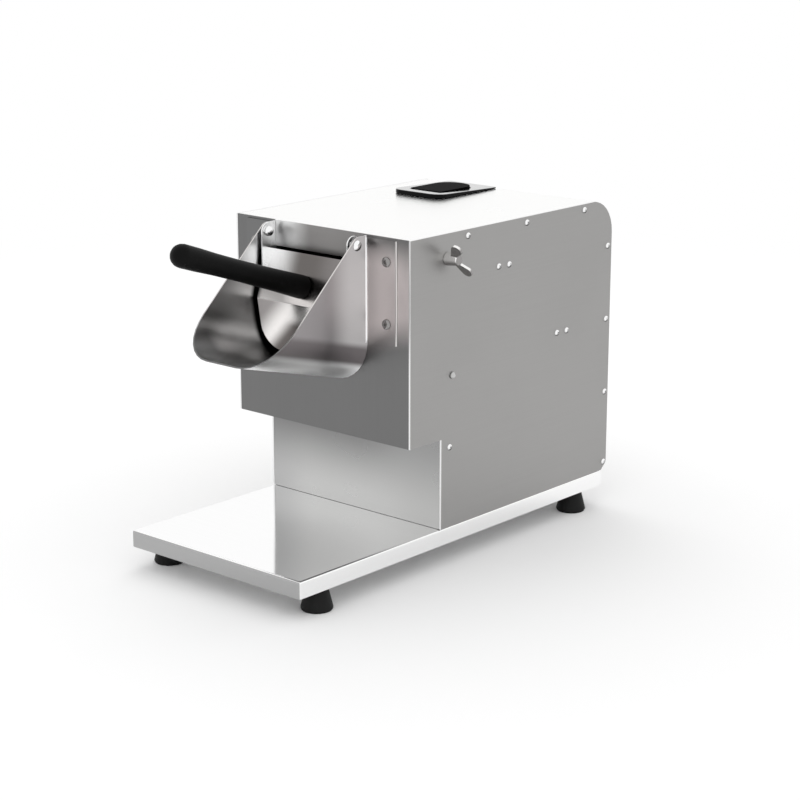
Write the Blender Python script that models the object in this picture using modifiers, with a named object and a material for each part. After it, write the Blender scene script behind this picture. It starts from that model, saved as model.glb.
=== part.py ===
# Electric grater with an open feed chute, a swinging pusher and a belt-driven drum.
# Metres, +Z up. The front faces -Y, the floor is at z = 0, and x = 0 is the middle plane.
import math

import bmesh
import bpy
from mathutils import Matrix

# Overall body
BODY_WIDTH = 0.250
BODY_DEPTH = 0.350
HEAD_HEIGHT = 0.220
HEAD_OVERHANG = 0.050
COLUMN_HEIGHT = 0.100
HEAD_FRONT_Y = -0.072
REAR_CORNER_RADIUS = 0.038
REAR_CHAMFER = 0.009

# Sheet metal and clearances
SIDE_SHEET = 0.002
SHEET = 0.0015
FLANGE_DEPTH = 0.014
GAP = 0.0003
EDGE_ROUND = 0.0012

# Base tray and feet
BASE_SIDE_INSET = 0.001
BASE_LENGTH = 0.510
BASE_REACH = 0.166
BASE_HEIGHT = 0.0185
BASE_SHEET = 0.002
BASE_EDGE_ROUND = 0.0025
FOOT_HEIGHT = 0.024
FOOT_TOP_RADIUS = 0.012
FOOT_BOTTOM_RADIUS = 0.017
FOOT_SIDE_INSET = 0.0146
FOOT_END_INSET = 0.040
FOOT_SCREW_RADIUS = 0.003
FOOT_SCREW_HEAD = 0.0055
FOOT_RECESS_DEPTH = 0.010
FOOT_BOSS_RADIUS = 0.009

# Feed chute, a U trough that slopes down to the head
CHUTE_SHEET = 0.0015
CHUTE_BEND = 0.0452
CHUTE_SLOPE = math.radians(14.46)
CHUTE_FLOOR_RISE = 0.0604
CHUTE_REACH = 0.1474
EAR_AHEAD = 0.0007
EAR_DROP = 0.001
EAR_ROUND = 0.009
FLANGE_SIDE_INSET = 0.0175
FLANGE_WIDTH = 0.0407
FLANGE_TOP_DROP = 0.0025
FLANGE_HEIGHT = 0.1095
FLANGE_BEND = 0.002
CHUTE_SCREW_INSET = 0.0133
CHUTE_SCREW_TOP = 0.0227
CHUTE_SCREW_PITCH = 0.0654
CHUTE_SCREW_RADIUS = 0.0025
CHUTE_SCREW_HEAD = 0.0055
CHUTE_SCREW_RISE = 0.0024
CHUTE_SCREW_LENGTH = 0.010

# Feed opening of the front panel
OPENING_TOP_DROP = 0.028

# Pusher, a bent plate with two ears that hangs on pins between the chute's ears
PIVOT_OUT = 0.016
PIVOT_DROP = 0.0096
PIN_RADIUS = 0.003
PIN_DOME_RADIUS = 0.0058
PIN_DOME_RISE = 0.003
PIN_INNER_RADIUS = 0.0055
PIN_INNER_RISE = 0.005
PIN_COLLAR_RADIUS = 0.0045
PUSHER_SIDE_GAP = 0.0033
PUSHER_SHEET = 0.0015
PUSHER_LEAN = math.radians(19)
PUSHER_SET_BACK = 0.00725
PUSHER_TOP_EDGE = 0.0167
PUSHER_BEND_DROP = 0.0711
PUSHER_BEND = math.radians(28.6)
PUSHER_BEND_RADIUS = 0.004
TONGUE_LENGTH = 0.0568
TONGUE_CORNER = 0.028
EAR_RADIUS = 0.0095

# Handle on the pusher. The grip's shape is (share of its length, radius), from its seat to its tip
HANDLE_DROP = 0.0519
GRIP_LENGTH = 0.1918
GRIP_SEAT_RADIUS = 0.0127
GRIP_TIP_RADIUS = 0.0122
GRIP_SHAPE = ((0.26, 0.0115), (0.51, 0.0109), (0.70, 0.0112), (0.83, 0.0120))
GRIP_SEAT_ROUND = 0.0025
STUD_RADIUS = 0.004
STUD_REACH = 0.120
NUT_ACROSS = 0.013
NUT_HEIGHT = 0.0065

# Grating drum and its cassette
DRUM_AXIS_IN = 0.060
DRUM_AXIS_RISE = 0.125
DRUM_RADIUS = 0.052
DRUM_WALL = 0.002
DRUM_END_ROOM = 0.006
DRUM_DISC = 0.005
HUB_RADIUS = 0.014
HUB_LENGTH = 0.012
SHAFT_RADIUS = 0.0075
BEARING_RADIUS = 0.016
BEARING_PLATE = 0.009
CASSETTE_SIDE_ROOM = 0.0062
CASSETTE_FRONT_IN = 0.006
CASSETTE_BACK_IN = 0.122
CASSETTE_LOW = 0.052
CASSETTE_TOP_ROOM = 0.012
CASSETTE_CORNER = 0.014
SHROUD_CLEARANCE = 0.008
OUTLET_BACK_IN = 0.0455
OUTLET_SIDE_ROOM = 0.001
OUTLET_FRONT_IN = 0.006

# Wing bolts and lower screws that clamp the cassette between the side panels
WING_IN = 0.0586
WING_DROP = 0.0265
WING_SHANK = 0.0036
WING_HUB_RADIUS = 0.0072
WING_HUB_LENGTH = 0.0155
WING_REACH = 0.021
WING_THICKNESS = 0.0028
WING_TIP_RADIUS = 0.0062
WING_FLARE = 0.0095
WING_TURN = math.radians(35)
CASSETTE_SCREW_IN = 0.0675
CASSETTE_SCREW_RISE = 0.0674
SPACER_RADIUS = 0.007
PAN_SCREW_RADIUS = 0.002
PAN_HEAD_RADIUS = 0.004
PAN_HEAD_RISE = 0.0024
PAN_SCREW_LENGTH = 0.012

# Belt drive
BELT_SIDE_ROOM = 0.0187
BELT_WIDTH = 0.010
BELT_THICKNESS = 0.003
DRUM_PULLEY_RADIUS = 0.040
MOTOR_PULLEY_RADIUS = 0.020
PULLEY_RIM = 0.0022
PULLEY_FLANGE = 0.0025

# Motor
MOTOR_AXIS_IN = 0.258
MOTOR_AXIS_RISE = 0.130
MOTOR_RADIUS = 0.050
MOTOR_WALL = 0.006
MOTOR_WIDTH_SHARE = 0.4
MOTOR_BODY_X = -0.005
BELL_LENGTH = 0.022
BELL_NOSE_RADIUS = 0.020
MOTOR_SHAFT_RADIUS = 0.006
ROTOR_RADIUS = 0.040
ROTOR_LENGTH_SHARE = 0.7
MOTOR_FOOT_WIDTH = 0.060
FAN_RADIUS = 0.036
FAN_WIDTH = 0.010
FAN_BLADES = 8
SHELF_RISE = 0.072
SHELF_SHEET = 0.0025
SHELF_DEPTH = 0.110
SHELF_FLANGE = 0.018

# Component tray under the top cover
TRAY_IN = 0.157
TRAY_DEPTH = 0.062
TRAY_DROP = 0.0385
TRAY_FLANGE = 0.020
CAPACITOR_RADIUS = 0.015
CAPACITOR_LENGTH = 0.070

# Switch on the top cover
SWITCH_SIDE_INSET = 0.0719
SWITCH_IN = 0.263
SWITCH_WIDTH = 0.0725
SWITCH_LENGTH = 0.105
SWITCH_CORNER = 0.014
SWITCH_REAR_CORNER = 0.004
SWITCH_RISE_FRONT = 0.0053
SWITCH_RISE_REAR = 0.0018
ROCKER_SHIFT = 0.0005
ROCKER_WIDTH = 0.046
ROCKER_LENGTH = 0.066
ROCKER_IN = 0.2605
ROCKER_CORNER = 0.004
ROCKER_END_ROUND = 0.020
ROCKER_CLEARANCE = 0.0012
ROCKER_RISE = 0.0055
ROCKER_THICKNESS = 0.008
ROCKER_AXIS_DROP = 0.004
ROCKER_AXLE_RADIUS = 0.0022
SWITCH_BODY_DEPTH = 0.026
SWITCH_ROOM = 0.0015
SWITCH_WALL = 0.0015

# Rear cover and power inlet
REAR_SPLIT_RISE = 0.150
REAR_BOTTOM_RISE = 0.010
VENT_COUNT = 7
VENT_PITCH = 0.010
VENT_LENGTH = 0.090
VENT_HEIGHT = 0.0032
VENT_RISE = 0.080
INLET_SIDE_INSET = 0.0527
INLET_RISE = 0.045
INLET_WIDTH = 0.028
INLET_HEIGHT = 0.021
INLET_RIM = 0.010
INLET_RIM_THICKNESS = 0.0025
INLET_DEPTH = 0.022
INLET_WALL = 0.0025
INLET_POCKET = 0.016

# Levels and planes that follow from the sizes above
BASE_TOP = FOOT_HEIGHT + BASE_HEIGHT
HEAD_BOTTOM = BASE_TOP + COLUMN_HEIGHT
HEAD_TOP = HEAD_BOTTOM + HEAD_HEIGHT
COLUMN_FRONT_Y = HEAD_FRONT_Y + HEAD_OVERHANG
REAR_Y = HEAD_FRONT_Y + BODY_DEPTH
BASE_FRONT_Y = HEAD_FRONT_Y - BASE_REACH
BASE_REAR_Y = BASE_FRONT_Y + BASE_LENGTH
BASE_MID_Y = (BASE_FRONT_Y + BASE_REAR_Y) / 2
BASE_WIDTH = BODY_WIDTH - 2 * BASE_SIDE_INSET
INNER_HALF = BODY_WIDTH / 2 - SIDE_SHEET - GAP
FLANGE_SPAN = BODY_WIDTH - 2 * FLANGE_SIDE_INSET
CHUTE_WIDTH = FLANGE_SPAN - 2 * FLANGE_WIDTH
CHUTE_HALF = CHUTE_WIDTH / 2
CHUTE_INNER_HALF = CHUTE_HALF - CHUTE_SHEET
CHUTE_FLOOR_Z = HEAD_BOTTOM + CHUTE_FLOOR_RISE
PIVOT_Y = HEAD_FRONT_Y - PIVOT_OUT
PIVOT_Z = HEAD_TOP - PIVOT_DROP
EAR_Y = PIVOT_Y - EAR_AHEAD
EAR_TOP = HEAD_TOP - EAR_DROP
LIP_Y = HEAD_FRONT_Y - CHUTE_REACH
LIP_Z = CHUTE_FLOOR_Z + CHUTE_REACH * math.tan(CHUTE_SLOPE)
MOUTH_ANGLE = math.atan2(EAR_TOP - LIP_Z, EAR_Y - LIP_Y)
DRUM_Y = HEAD_FRONT_Y + DRUM_AXIS_IN
DRUM_Z = HEAD_BOTTOM + DRUM_AXIS_RISE
WING_Y = HEAD_FRONT_Y + WING_IN
WING_Z = HEAD_TOP - WING_DROP
CASSETTE_SCREW_Y = HEAD_FRONT_Y + CASSETTE_SCREW_IN
CASSETTE_SCREW_Z = HEAD_BOTTOM + CASSETTE_SCREW_RISE
CASSETTE_WIDTH = CHUTE_WIDTH + 2 * CASSETTE_SIDE_ROOM
CASSETTE_HALF = CASSETTE_WIDTH / 2
DRUM_LENGTH = CASSETTE_WIDTH - 2 * DRUM_END_ROOM
OUTLET_HALF_WIDTH = DRUM_LENGTH / 2 + OUTLET_SIDE_ROOM
BELT_PLANE_X = BELT_SIDE_ROOM - INNER_HALF
MOTOR_BODY_LENGTH = BODY_WIDTH * MOTOR_WIDTH_SHARE
ROTOR_LENGTH = MOTOR_BODY_LENGTH * ROTOR_LENGTH_SHARE
INLET_X = INNER_HALF - INLET_SIDE_INSET
SWITCH_X = SWITCH_SIDE_INSET - INNER_HALF
ROCKER_X = SWITCH_X + ROCKER_SHIFT
MOTOR_Y = HEAD_FRONT_Y + MOTOR_AXIS_IN
MOTOR_Z = HEAD_BOTTOM + MOTOR_AXIS_RISE
SHELF_TOP = HEAD_BOTTOM + SHELF_RISE
SWITCH_Y = HEAD_FRONT_Y + SWITCH_IN
ROCKER_Y = HEAD_FRONT_Y + ROCKER_IN
TRAY_Y = HEAD_FRONT_Y + TRAY_IN
TRAY_TOP = HEAD_TOP - TRAY_DROP

# Finishes: linear colour, roughness, metallic
FINISHES = {
    "side_steel": ((0.33, 0.33, 0.33), 0.38, 1.0),
    "front_steel": ((0.20, 0.20, 0.20), 0.40, 1.0),
    "chute_steel": ((0.42, 0.40, 0.39), 0.28, 1.0),
    "polished_steel": ((0.80, 0.80, 0.80), 0.12, 1.0),
    "bright_steel": ((0.55, 0.55, 0.54), 0.25, 1.0),
    "zinc_steel": ((0.45, 0.46, 0.47), 0.45, 1.0),
    "aluminium": ((0.60, 0.61, 0.62), 0.45, 1.0),
    "black_rubber": ((0.012, 0.012, 0.012), 0.75, 0.0),
    "black_grip": ((0.009, 0.009, 0.009), 0.55, 0.0),
    "black_plastic": ((0.015, 0.015, 0.015), 0.45, 0.0),
    "motor_paint": ((0.10, 0.12, 0.14), 0.50, 0.0),
    "white_plastic": ((0.75, 0.75, 0.72), 0.50, 0.0),
}

# Directions that a flat outline can face
FACES_X = (math.pi / 2, 0, math.pi / 2)
FACES_Y = (math.pi / 2, 0, 0)
FACES_Z = (0, 0, 0)
ALONG_X = (0, math.pi / 2, 0)
ALONG_MINUS_X = (0, -math.pi / 2, 0)
ALONG_MINUS_Y = (math.pi / 2, 0, 0)
ALONG_Z = (0, 0, 0)


def clear_scene():
    for obj in list(bpy.data.objects):
        bpy.data.objects.remove(obj, do_unlink=True)


def new_collection(name):
    collection = bpy.data.collections.new(name)
    bpy.context.scene.collection.children.link(collection)
    return collection


clear_scene()
PARTS = new_collection("electric_grater")
CUTTERS = new_collection("cutters")


def finish_material(name, finish):
    colour, roughness, metallic = FINISHES[finish]
    material = bpy.data.materials.new(name)
    material.use_nodes = True
    shader = material.node_tree.nodes["Principled BSDF"]
    shader.inputs["Base Color"].default_value = (*colour, 1.0)
    shader.inputs["Roughness"].default_value = roughness
    shader.inputs["Metallic"].default_value = metallic
    material.diffuse_color = (*colour, 1.0)
    return material


def add_part(name, mesh, finish, location=(0, 0, 0), rotation=(0, 0, 0)):
    obj = bpy.data.objects.new(name, mesh)
    obj.location = location
    obj.rotation_euler = rotation
    mesh.materials.append(finish_material(name, finish))
    PARTS.objects.link(obj)
    return obj


def add_helper(name, mesh, location=(0, 0, 0), rotation=(0, 0, 0)):
    obj = bpy.data.objects.new(name, mesh)
    obj.location = location
    obj.rotation_euler = rotation
    obj.hide_render = True
    obj.display_type = "WIRE"
    CUTTERS.objects.link(obj)
    return obj


def smooth(mesh, angle=35):
    mesh.shade_smooth()
    mesh.set_sharp_from_angle(angle=math.radians(angle))


def finished_mesh(name, build):
    mesh = bpy.data.meshes.new(name)
    build.to_mesh(mesh)
    build.free()
    return mesh


def box_mesh(name, low, high, rounding=0.0):
    """A box between two corners, with its edges rounded where a radius is given."""
    build = bmesh.new()
    bmesh.ops.create_cube(build, size=1.0)
    size = [high[i] - low[i] for i in range(3)]
    middle = [(high[i] + low[i]) / 2 for i in range(3)]
    bmesh.ops.scale(build, vec=size, verts=build.verts)
    bmesh.ops.translate(build, vec=middle, verts=build.verts)
    if rounding:
        edges = build.edges[:]
        bmesh.ops.bevel(build, geom=edges, offset=rounding, segments=2, affect="EDGES", profile=0.5)
    mesh = finished_mesh(name, build)
    smooth(mesh)
    return mesh


def rod_mesh(name, rods, sides=16):
    """Closed cylinders in one mesh. Each rod is its radius, its axis letter, its start and its length."""
    build = bmesh.new()
    turns = {
        "X": Matrix.Rotation(math.pi / 2, 4, "Y"),
        "Y": Matrix.Rotation(-math.pi / 2, 4, "X"),
        "Z": Matrix(),
    }
    steps = {"X": (1, 0, 0), "Y": (0, 1, 0), "Z": (0, 0, 1)}
    for radius, axis, start, length in rods:
        middle = [start[i] + steps[axis][i] * length / 2 for i in range(3)]
        bmesh.ops.create_cone(
            build, cap_ends=True, segments=sides, radius1=radius, radius2=radius, depth=length,
            matrix=Matrix.Translation(middle) @ turns[axis],
        )
    mesh = finished_mesh(name, build)
    smooth(mesh)
    return mesh


def arc(centre, radius, start, end, steps=6):
    """Points on an arc, angles in degrees."""
    points = []
    for i in range(steps + 1):
        angle = math.radians(start + (end - start) * i / steps)
        points.append((centre[0] + radius * math.cos(angle), centre[1] + radius * math.sin(angle)))
    return points


def circle(centre, radius, steps=12):
    return arc(centre, radius, 0, 360 * (steps - 1) / steps, steps - 1)


def rounded_rectangle(low, high, radius, steps=4):
    corners = (
        ((high[0] - radius, high[1] - radius), 0),
        ((low[0] + radius, high[1] - radius), 90),
        ((low[0] + radius, low[1] + radius), 180),
        ((high[0] - radius, low[1] + radius), 270),
    )
    points = []
    for centre, start in corners:
        points += arc(centre, radius, start, start + 90, steps)
    return points


def plate_mesh(name, outlines, thickness):
    """A flat sheet, centred on its thickness. The first outline is its edge and the rest are holes."""
    curve = bpy.data.curves.new(name, "CURVE")
    curve.dimensions = "2D"
    curve.fill_mode = "BOTH"
    curve.extrude = thickness / 2
    for outline in outlines:
        spline = curve.splines.new("POLY")
        spline.points.add(len(outline) - 1)
        for point, (a, b) in zip(spline.points, outline):
            point.co = (a, b, 0, 1)
        spline.use_cyclic_u = True
    flat = bpy.data.objects.new(name, curve)
    bpy.context.scene.collection.objects.link(flat)
    bpy.context.view_layer.update()
    mesh = bpy.data.meshes.new_from_object(flat.evaluated_get(bpy.context.evaluated_depsgraph_get()))
    bpy.data.objects.remove(flat, do_unlink=True)
    bpy.data.curves.remove(curve)
    build = bmesh.new()
    build.from_mesh(mesh)
    bmesh.ops.remove_doubles(build, verts=build.verts, dist=1e-6)
    bmesh.ops.recalc_face_normals(build, faces=build.faces)
    build.to_mesh(mesh)
    build.free()
    mesh.name = name
    smooth(mesh)
    return mesh


def side_plate(name, outlines, low_x, high_x, finish):
    """A plate that lies between two x planes; its outlines are (y, z)."""
    mesh = plate_mesh(name, outlines, high_x - low_x)
    return add_part(name, mesh, finish, ((low_x + high_x) / 2, 0, 0), FACES_X)


def front_plate(name, outlines, low_y, high_y, finish):
    """A plate that lies between two y planes; its outlines are (x, z)."""
    mesh = plate_mesh(name, outlines, high_y - low_y)
    return add_part(name, mesh, finish, (0, (low_y + high_y) / 2, 0), FACES_Y)


def level_plate(name, outlines, low_z, high_z, finish):
    """A plate that lies between two z planes; its outlines are (x, y)."""
    mesh = plate_mesh(name, outlines, high_z - low_z)
    return add_part(name, mesh, finish, (0, 0, (low_z + high_z) / 2), FACES_Z)


def side_helper(name, outline, low_x, high_x):
    mesh = plate_mesh(name, [outline], high_x - low_x)
    return add_helper(name, mesh, ((low_x + high_x) / 2, 0, 0), FACES_X)


def turned(name, profile, finish, location, rotation, steps=24):
    """A turned piece. The profile is (radius, height), down the outer side from the top."""
    mesh = bpy.data.meshes.new(name)
    points = [(radius, 0, height) for radius, height in profile]
    edges = [(i, i + 1) for i in range(len(points) - 1)]
    if profile[0][0] > 0:
        edges.append((len(points) - 1, 0))
    mesh.from_pydata(points, edges, [])
    obj = add_part(name, mesh, finish, location, rotation)
    screw = obj.modifiers.new("turn", "SCREW")
    screw.axis = "Z"
    screw.steps = steps
    screw.render_steps = steps
    screw.use_merge_vertices = True
    screw.merge_threshold = 1e-5
    screw.use_smooth_shade = False
    return obj


def combine(obj, other, operation):
    change = obj.modifiers.new(other.name, "BOOLEAN")
    change.object = other
    change.operation = operation
    change.solver = "EXACT"
    return obj


def cut(obj, cutter):
    return combine(obj, cutter, "DIFFERENCE")


def join(obj, other):
    return combine(obj, other, "UNION")


def ring_profile(inner, outer, length):
    return [(inner, length / 2), (outer, length / 2), (outer, -length / 2), (inner, -length / 2)]


def disc_profile(radius, top, bottom, rounding=0.0):
    if not rounding:
        return [(0, top), (radius, top), (radius, bottom), (0, bottom)]
    return [(0, top), (radius - rounding, top), (radius, top - rounding), (radius, bottom), (0, bottom)]


# Base tray

def base_plate():
    build = bmesh.new()
    bmesh.ops.create_cube(build, size=1.0)
    bmesh.ops.scale(build, vec=(BASE_WIDTH, BASE_LENGTH, BASE_HEIGHT), verts=build.verts)
    bmesh.ops.translate(build, vec=(0, BASE_MID_Y, FOOT_HEIGHT + BASE_HEIGHT / 2), verts=build.verts)
    under = [face for face in build.faces if face.normal.z < -0.5]
    bmesh.ops.delete(build, geom=under, context="FACES")
    rounded = [edge for edge in build.edges if not edge.is_boundary]
    bmesh.ops.bevel(build, geom=rounded, offset=BASE_EDGE_ROUND, segments=2, affect="EDGES", profile=0.5)
    mesh = finished_mesh("base_plate", build)
    smooth(mesh)
    obj = add_part("base_plate", mesh, "polished_steel")
    shell = obj.modifiers.new("sheet", "SOLIDIFY")
    shell.thickness = BASE_SHEET
    shell.offset = -1
    bosses = [
        (FOOT_BOSS_RADIUS, "Z", (x, y, FOOT_HEIGHT), BASE_HEIGHT - BASE_SHEET / 2)
        for x, y in foot_places()
    ]
    holes = [
        (FOOT_SCREW_RADIUS + GAP, "Z", (x, y, FOOT_HEIGHT - BASE_SHEET), BASE_HEIGHT - BASE_SHEET)
        for x, y in foot_places()
    ]
    join(obj, add_helper("foot_bosses", rod_mesh("foot_bosses", bosses)))
    cut(obj, add_helper("foot_boss_holes", rod_mesh("foot_boss_holes", holes)))
    return obj


def foot_places():
    x = BASE_WIDTH / 2 - FOOT_SIDE_INSET
    front = BASE_FRONT_Y + FOOT_END_INSET
    rear = BASE_REAR_Y - FOOT_END_INSET
    return ((-x, front), (x, front), (-x, rear), (x, rear))


def feet():
    top = FOOT_HEIGHT - GAP
    bore = FOOT_SCREW_RADIUS + GAP
    recess = FOOT_SCREW_HEAD + GAP
    foot = [
        (bore, top),
        (FOOT_TOP_RADIUS - EDGE_ROUND, top),
        (FOOT_TOP_RADIUS, top - EDGE_ROUND),
        (FOOT_BOTTOM_RADIUS, EDGE_ROUND * 2),
        (FOOT_BOTTOM_RADIUS - EDGE_ROUND, 0),
        (recess, 0),
        (recess, FOOT_RECESS_DEPTH),
        (bore, FOOT_RECESS_DEPTH),
    ]
    head_top = FOOT_RECESS_DEPTH - GAP
    head_low = head_top - FOOT_SCREW_HEAD * 0.7
    tip = FOOT_HEIGHT + BASE_HEIGHT - BASE_SHEET * 2.5
    screw = [
        (0, tip),
        (FOOT_SCREW_RADIUS, tip),
        (FOOT_SCREW_RADIUS, head_top),
        (FOOT_SCREW_HEAD, head_top),
        (FOOT_SCREW_HEAD, head_low + EDGE_ROUND),
        (FOOT_SCREW_HEAD - EDGE_ROUND, head_low),
        (0, head_low),
    ]
    corners = ("front_left", "front_right", "rear_left", "rear_right")
    for corner, (x, y) in zip(corners, foot_places()):
        turned("foot_" + corner, foot, "black_rubber", (x, y, 0), ALONG_Z, 20)
        turned("foot_screw_" + corner, screw, "zinc_steel", (x, y, 0), ALONG_Z, 12)


# Body panels

def side_outline():
    """The side panel's outline, (y, z): head, overhang and column."""
    low = BASE_TOP + GAP
    corner = (REAR_Y - REAR_CORNER_RADIUS, HEAD_TOP - REAR_CORNER_RADIUS)
    outline = [
        (HEAD_FRONT_Y, HEAD_BOTTOM),
        (COLUMN_FRONT_Y, HEAD_BOTTOM),
        (COLUMN_FRONT_Y, low),
        (REAR_Y - REAR_CHAMFER, low),
        (REAR_Y, low + REAR_CHAMFER),
    ]
    outline += arc(corner, REAR_CORNER_RADIUS, 0, 90, 8)
    outline.append((HEAD_FRONT_Y, HEAD_TOP))
    return outline


def side_panels():
    holes = [
        circle((WING_Y, WING_Z), WING_SHANK + GAP),
        circle((CASSETTE_SCREW_Y, CASSETTE_SCREW_Z), PAN_SCREW_RADIUS + GAP),
    ]
    outer = BODY_WIDTH / 2
    side_plate("side_panel_left", [side_outline()] + holes, -outer, -outer + SIDE_SHEET, "side_steel")
    side_plate("side_panel_right", [side_outline()] + holes, outer - SIDE_SHEET, outer, "side_steel")


def trough_profile(shrink):
    """The chute's U seen along its slope, from the left wall to the right, (x, height)."""
    half = CHUTE_HALF - shrink
    radius = CHUTE_BEND - shrink
    centre = CHUTE_HALF - CHUTE_BEND
    left = arc((-centre, CHUTE_BEND), radius, 180, 270, 8)
    right = arc((centre, CHUTE_BEND), radius, 270, 360, 8)
    tall = HEAD_HEIGHT
    return [(-half, tall)] + left + right + [(half, tall)]


def opening_outline():
    """The feed opening, (x, z): the inside of the chute where it meets the panel."""
    top = HEAD_TOP - OPENING_TOP_DROP
    lean = math.cos(CHUTE_SLOPE)
    points = [(x, CHUTE_FLOOR_Z + rise / lean) for x, rise in trough_profile(CHUTE_SHEET)[1:-1]]
    return points + [(CHUTE_INNER_HALF, top), (-CHUTE_INNER_HALF, top)]


def chute_screw_places():
    x = FLANGE_SPAN / 2 - CHUTE_SCREW_INSET
    top = HEAD_TOP - FLANGE_TOP_DROP - CHUTE_SCREW_TOP
    return ((-x, top), (x, top), (-x, top - CHUTE_SCREW_PITCH), (x, top - CHUTE_SCREW_PITCH))


def front_panel():
    outside = [
        (-INNER_HALF, HEAD_BOTTOM),
        (INNER_HALF, HEAD_BOTTOM),
        (INNER_HALF, HEAD_TOP),
        (-INNER_HALF, HEAD_TOP),
    ]
    holes = [circle(place, CHUTE_SCREW_RADIUS + GAP, 10) for place in chute_screw_places()]
    outlines = [outside, opening_outline()] + holes
    return front_plate("front_panel", outlines, HEAD_FRONT_Y, HEAD_FRONT_Y + SHEET, "front_steel")


def head_floor():
    low_y = HEAD_FRONT_Y + SHEET + GAP
    high_y = COLUMN_FRONT_Y + SHEET
    outside = [(-INNER_HALF, low_y), (INNER_HALF, low_y), (INNER_HALF, high_y), (-INNER_HALF, high_y)]
    outlet = rounded_rectangle(
        (-OUTLET_HALF_WIDTH, HEAD_FRONT_Y + OUTLET_FRONT_IN),
        (OUTLET_HALF_WIDTH, HEAD_FRONT_Y + OUTLET_BACK_IN),
        EDGE_ROUND * 3,
        3,
    )
    return level_plate("head_floor", [outside, outlet], HEAD_BOTTOM, HEAD_BOTTOM + SHEET, "front_steel")


def column_front_panel():
    outside = [
        (-INNER_HALF, BASE_TOP + GAP),
        (INNER_HALF, BASE_TOP + GAP),
        (INNER_HALF, HEAD_BOTTOM - GAP),
        (-INNER_HALF, HEAD_BOTTOM - GAP),
    ]
    back = COLUMN_FRONT_Y + SHEET
    return front_plate("column_front_panel", [outside], COLUMN_FRONT_Y, back, "bright_steel")


def cover_outline(inset, front, low):
    """The top cover's side view, (y, z), moved in from the top and the rear by the inset."""
    centre = (REAR_Y - REAR_CORNER_RADIUS, HEAD_TOP - REAR_CORNER_RADIUS)
    points = [(front, low), (REAR_Y - inset, low)]
    points += arc(centre, REAR_CORNER_RADIUS - inset, 0, 90, 8)
    points.append((front, HEAD_TOP - inset))
    return points


def top_cover():
    front = HEAD_FRONT_Y + SHEET + GAP
    low = HEAD_BOTTOM + REAR_SPLIT_RISE
    mesh = plate_mesh("top_cover", [cover_outline(0, front, low)], 2 * INNER_HALF)
    obj = add_part("top_cover", mesh, "polished_steel", (0, 0, 0), FACES_X)
    inner = INNER_HALF - SHEET
    past = FLANGE_DEPTH
    room = cover_outline(SHEET, front - past, low - past)
    cut(obj, side_helper("top_cover_inside", room, -inner, inner))
    core = cover_outline(FLANGE_DEPTH, front - past, low - past)
    cut(obj, side_helper("top_cover_core", core, -INNER_HALF - past, INNER_HALF + past))
    window = plate_mesh("switch_window", [rocker_outline(ROCKER_CLEARANCE)], FLANGE_DEPTH)
    cut(obj, add_helper("switch_window", window, (0, 0, HEAD_TOP)))
    return obj


def rear_cover():
    low = BASE_TOP + REAR_BOTTOM_RISE
    high = HEAD_BOTTOM + REAR_SPLIT_RISE - GAP
    corner = (-INNER_HALF, REAR_Y - FLANGE_DEPTH, low)
    mesh = box_mesh("rear_cover", corner, (INNER_HALF, REAR_Y, high))
    obj = add_part("rear_cover", mesh, "side_steel")
    inner = INNER_HALF - SHEET
    past = FLANGE_DEPTH
    corner = (-inner, REAR_Y - 2 * past, low - past)
    pocket = box_mesh("rear_cover_inside", corner, (inner, REAR_Y - SHEET, high + past))
    cut(obj, add_helper("rear_cover_inside", pocket))
    build = bmesh.new()
    for i in range(VENT_COUNT):
        z = HEAD_BOTTOM + VENT_RISE - (i - (VENT_COUNT - 1) / 2) * VENT_PITCH
        place = Matrix.Translation((0, REAR_Y - SHEET / 2, z))
        size = Matrix.Diagonal((VENT_LENGTH, 4 * SHEET, VENT_HEIGHT, 1))
        bmesh.ops.create_cube(build, size=1.0, matrix=place @ size)
    cut(obj, add_helper("rear_vents", finished_mesh("rear_vents", build)))
    hole = box_mesh(
        "inlet_hole",
        (INLET_X - INLET_WIDTH / 2 - GAP, REAR_Y - past, BASE_TOP + INLET_RISE - INLET_HEIGHT / 2 - GAP),
        (INLET_X + INLET_WIDTH / 2 + GAP, REAR_Y + past, BASE_TOP + INLET_RISE + INLET_HEIGHT / 2 + GAP),
    )
    cut(obj, add_helper("inlet_hole", hole))
    return obj


def power_inlet():
    half = INLET_WIDTH / 2
    z = BASE_TOP + INLET_RISE
    face = REAR_Y + GAP + INLET_RIM_THICKNESS
    rim = box_mesh(
        "power_inlet",
        (INLET_X - half - INLET_RIM, REAR_Y + GAP, z - INLET_HEIGHT / 2 - INLET_RIM / 3),
        (INLET_X + half + INLET_RIM, face, z + INLET_HEIGHT / 2 + INLET_RIM / 3),
    )
    obj = add_part("power_inlet", rim, "black_plastic")
    body = box_mesh(
        "inlet_body",
        (INLET_X - half, face - INLET_DEPTH, z - INLET_HEIGHT / 2),
        (INLET_X + half, face - INLET_RIM_THICKNESS / 2, z + INLET_HEIGHT / 2),
    )
    join(obj, add_helper("inlet_body", body))
    pocket = box_mesh(
        "inlet_pocket",
        (INLET_X - half + INLET_WALL, face - INLET_POCKET, z - INLET_HEIGHT / 2 + INLET_WALL),
        (INLET_X + half - INLET_WALL, face + INLET_DEPTH, z + INLET_HEIGHT / 2 - INLET_WALL),
    )
    cut(obj, add_helper("inlet_pocket", pocket))
    return obj


# Feed chute

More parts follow.
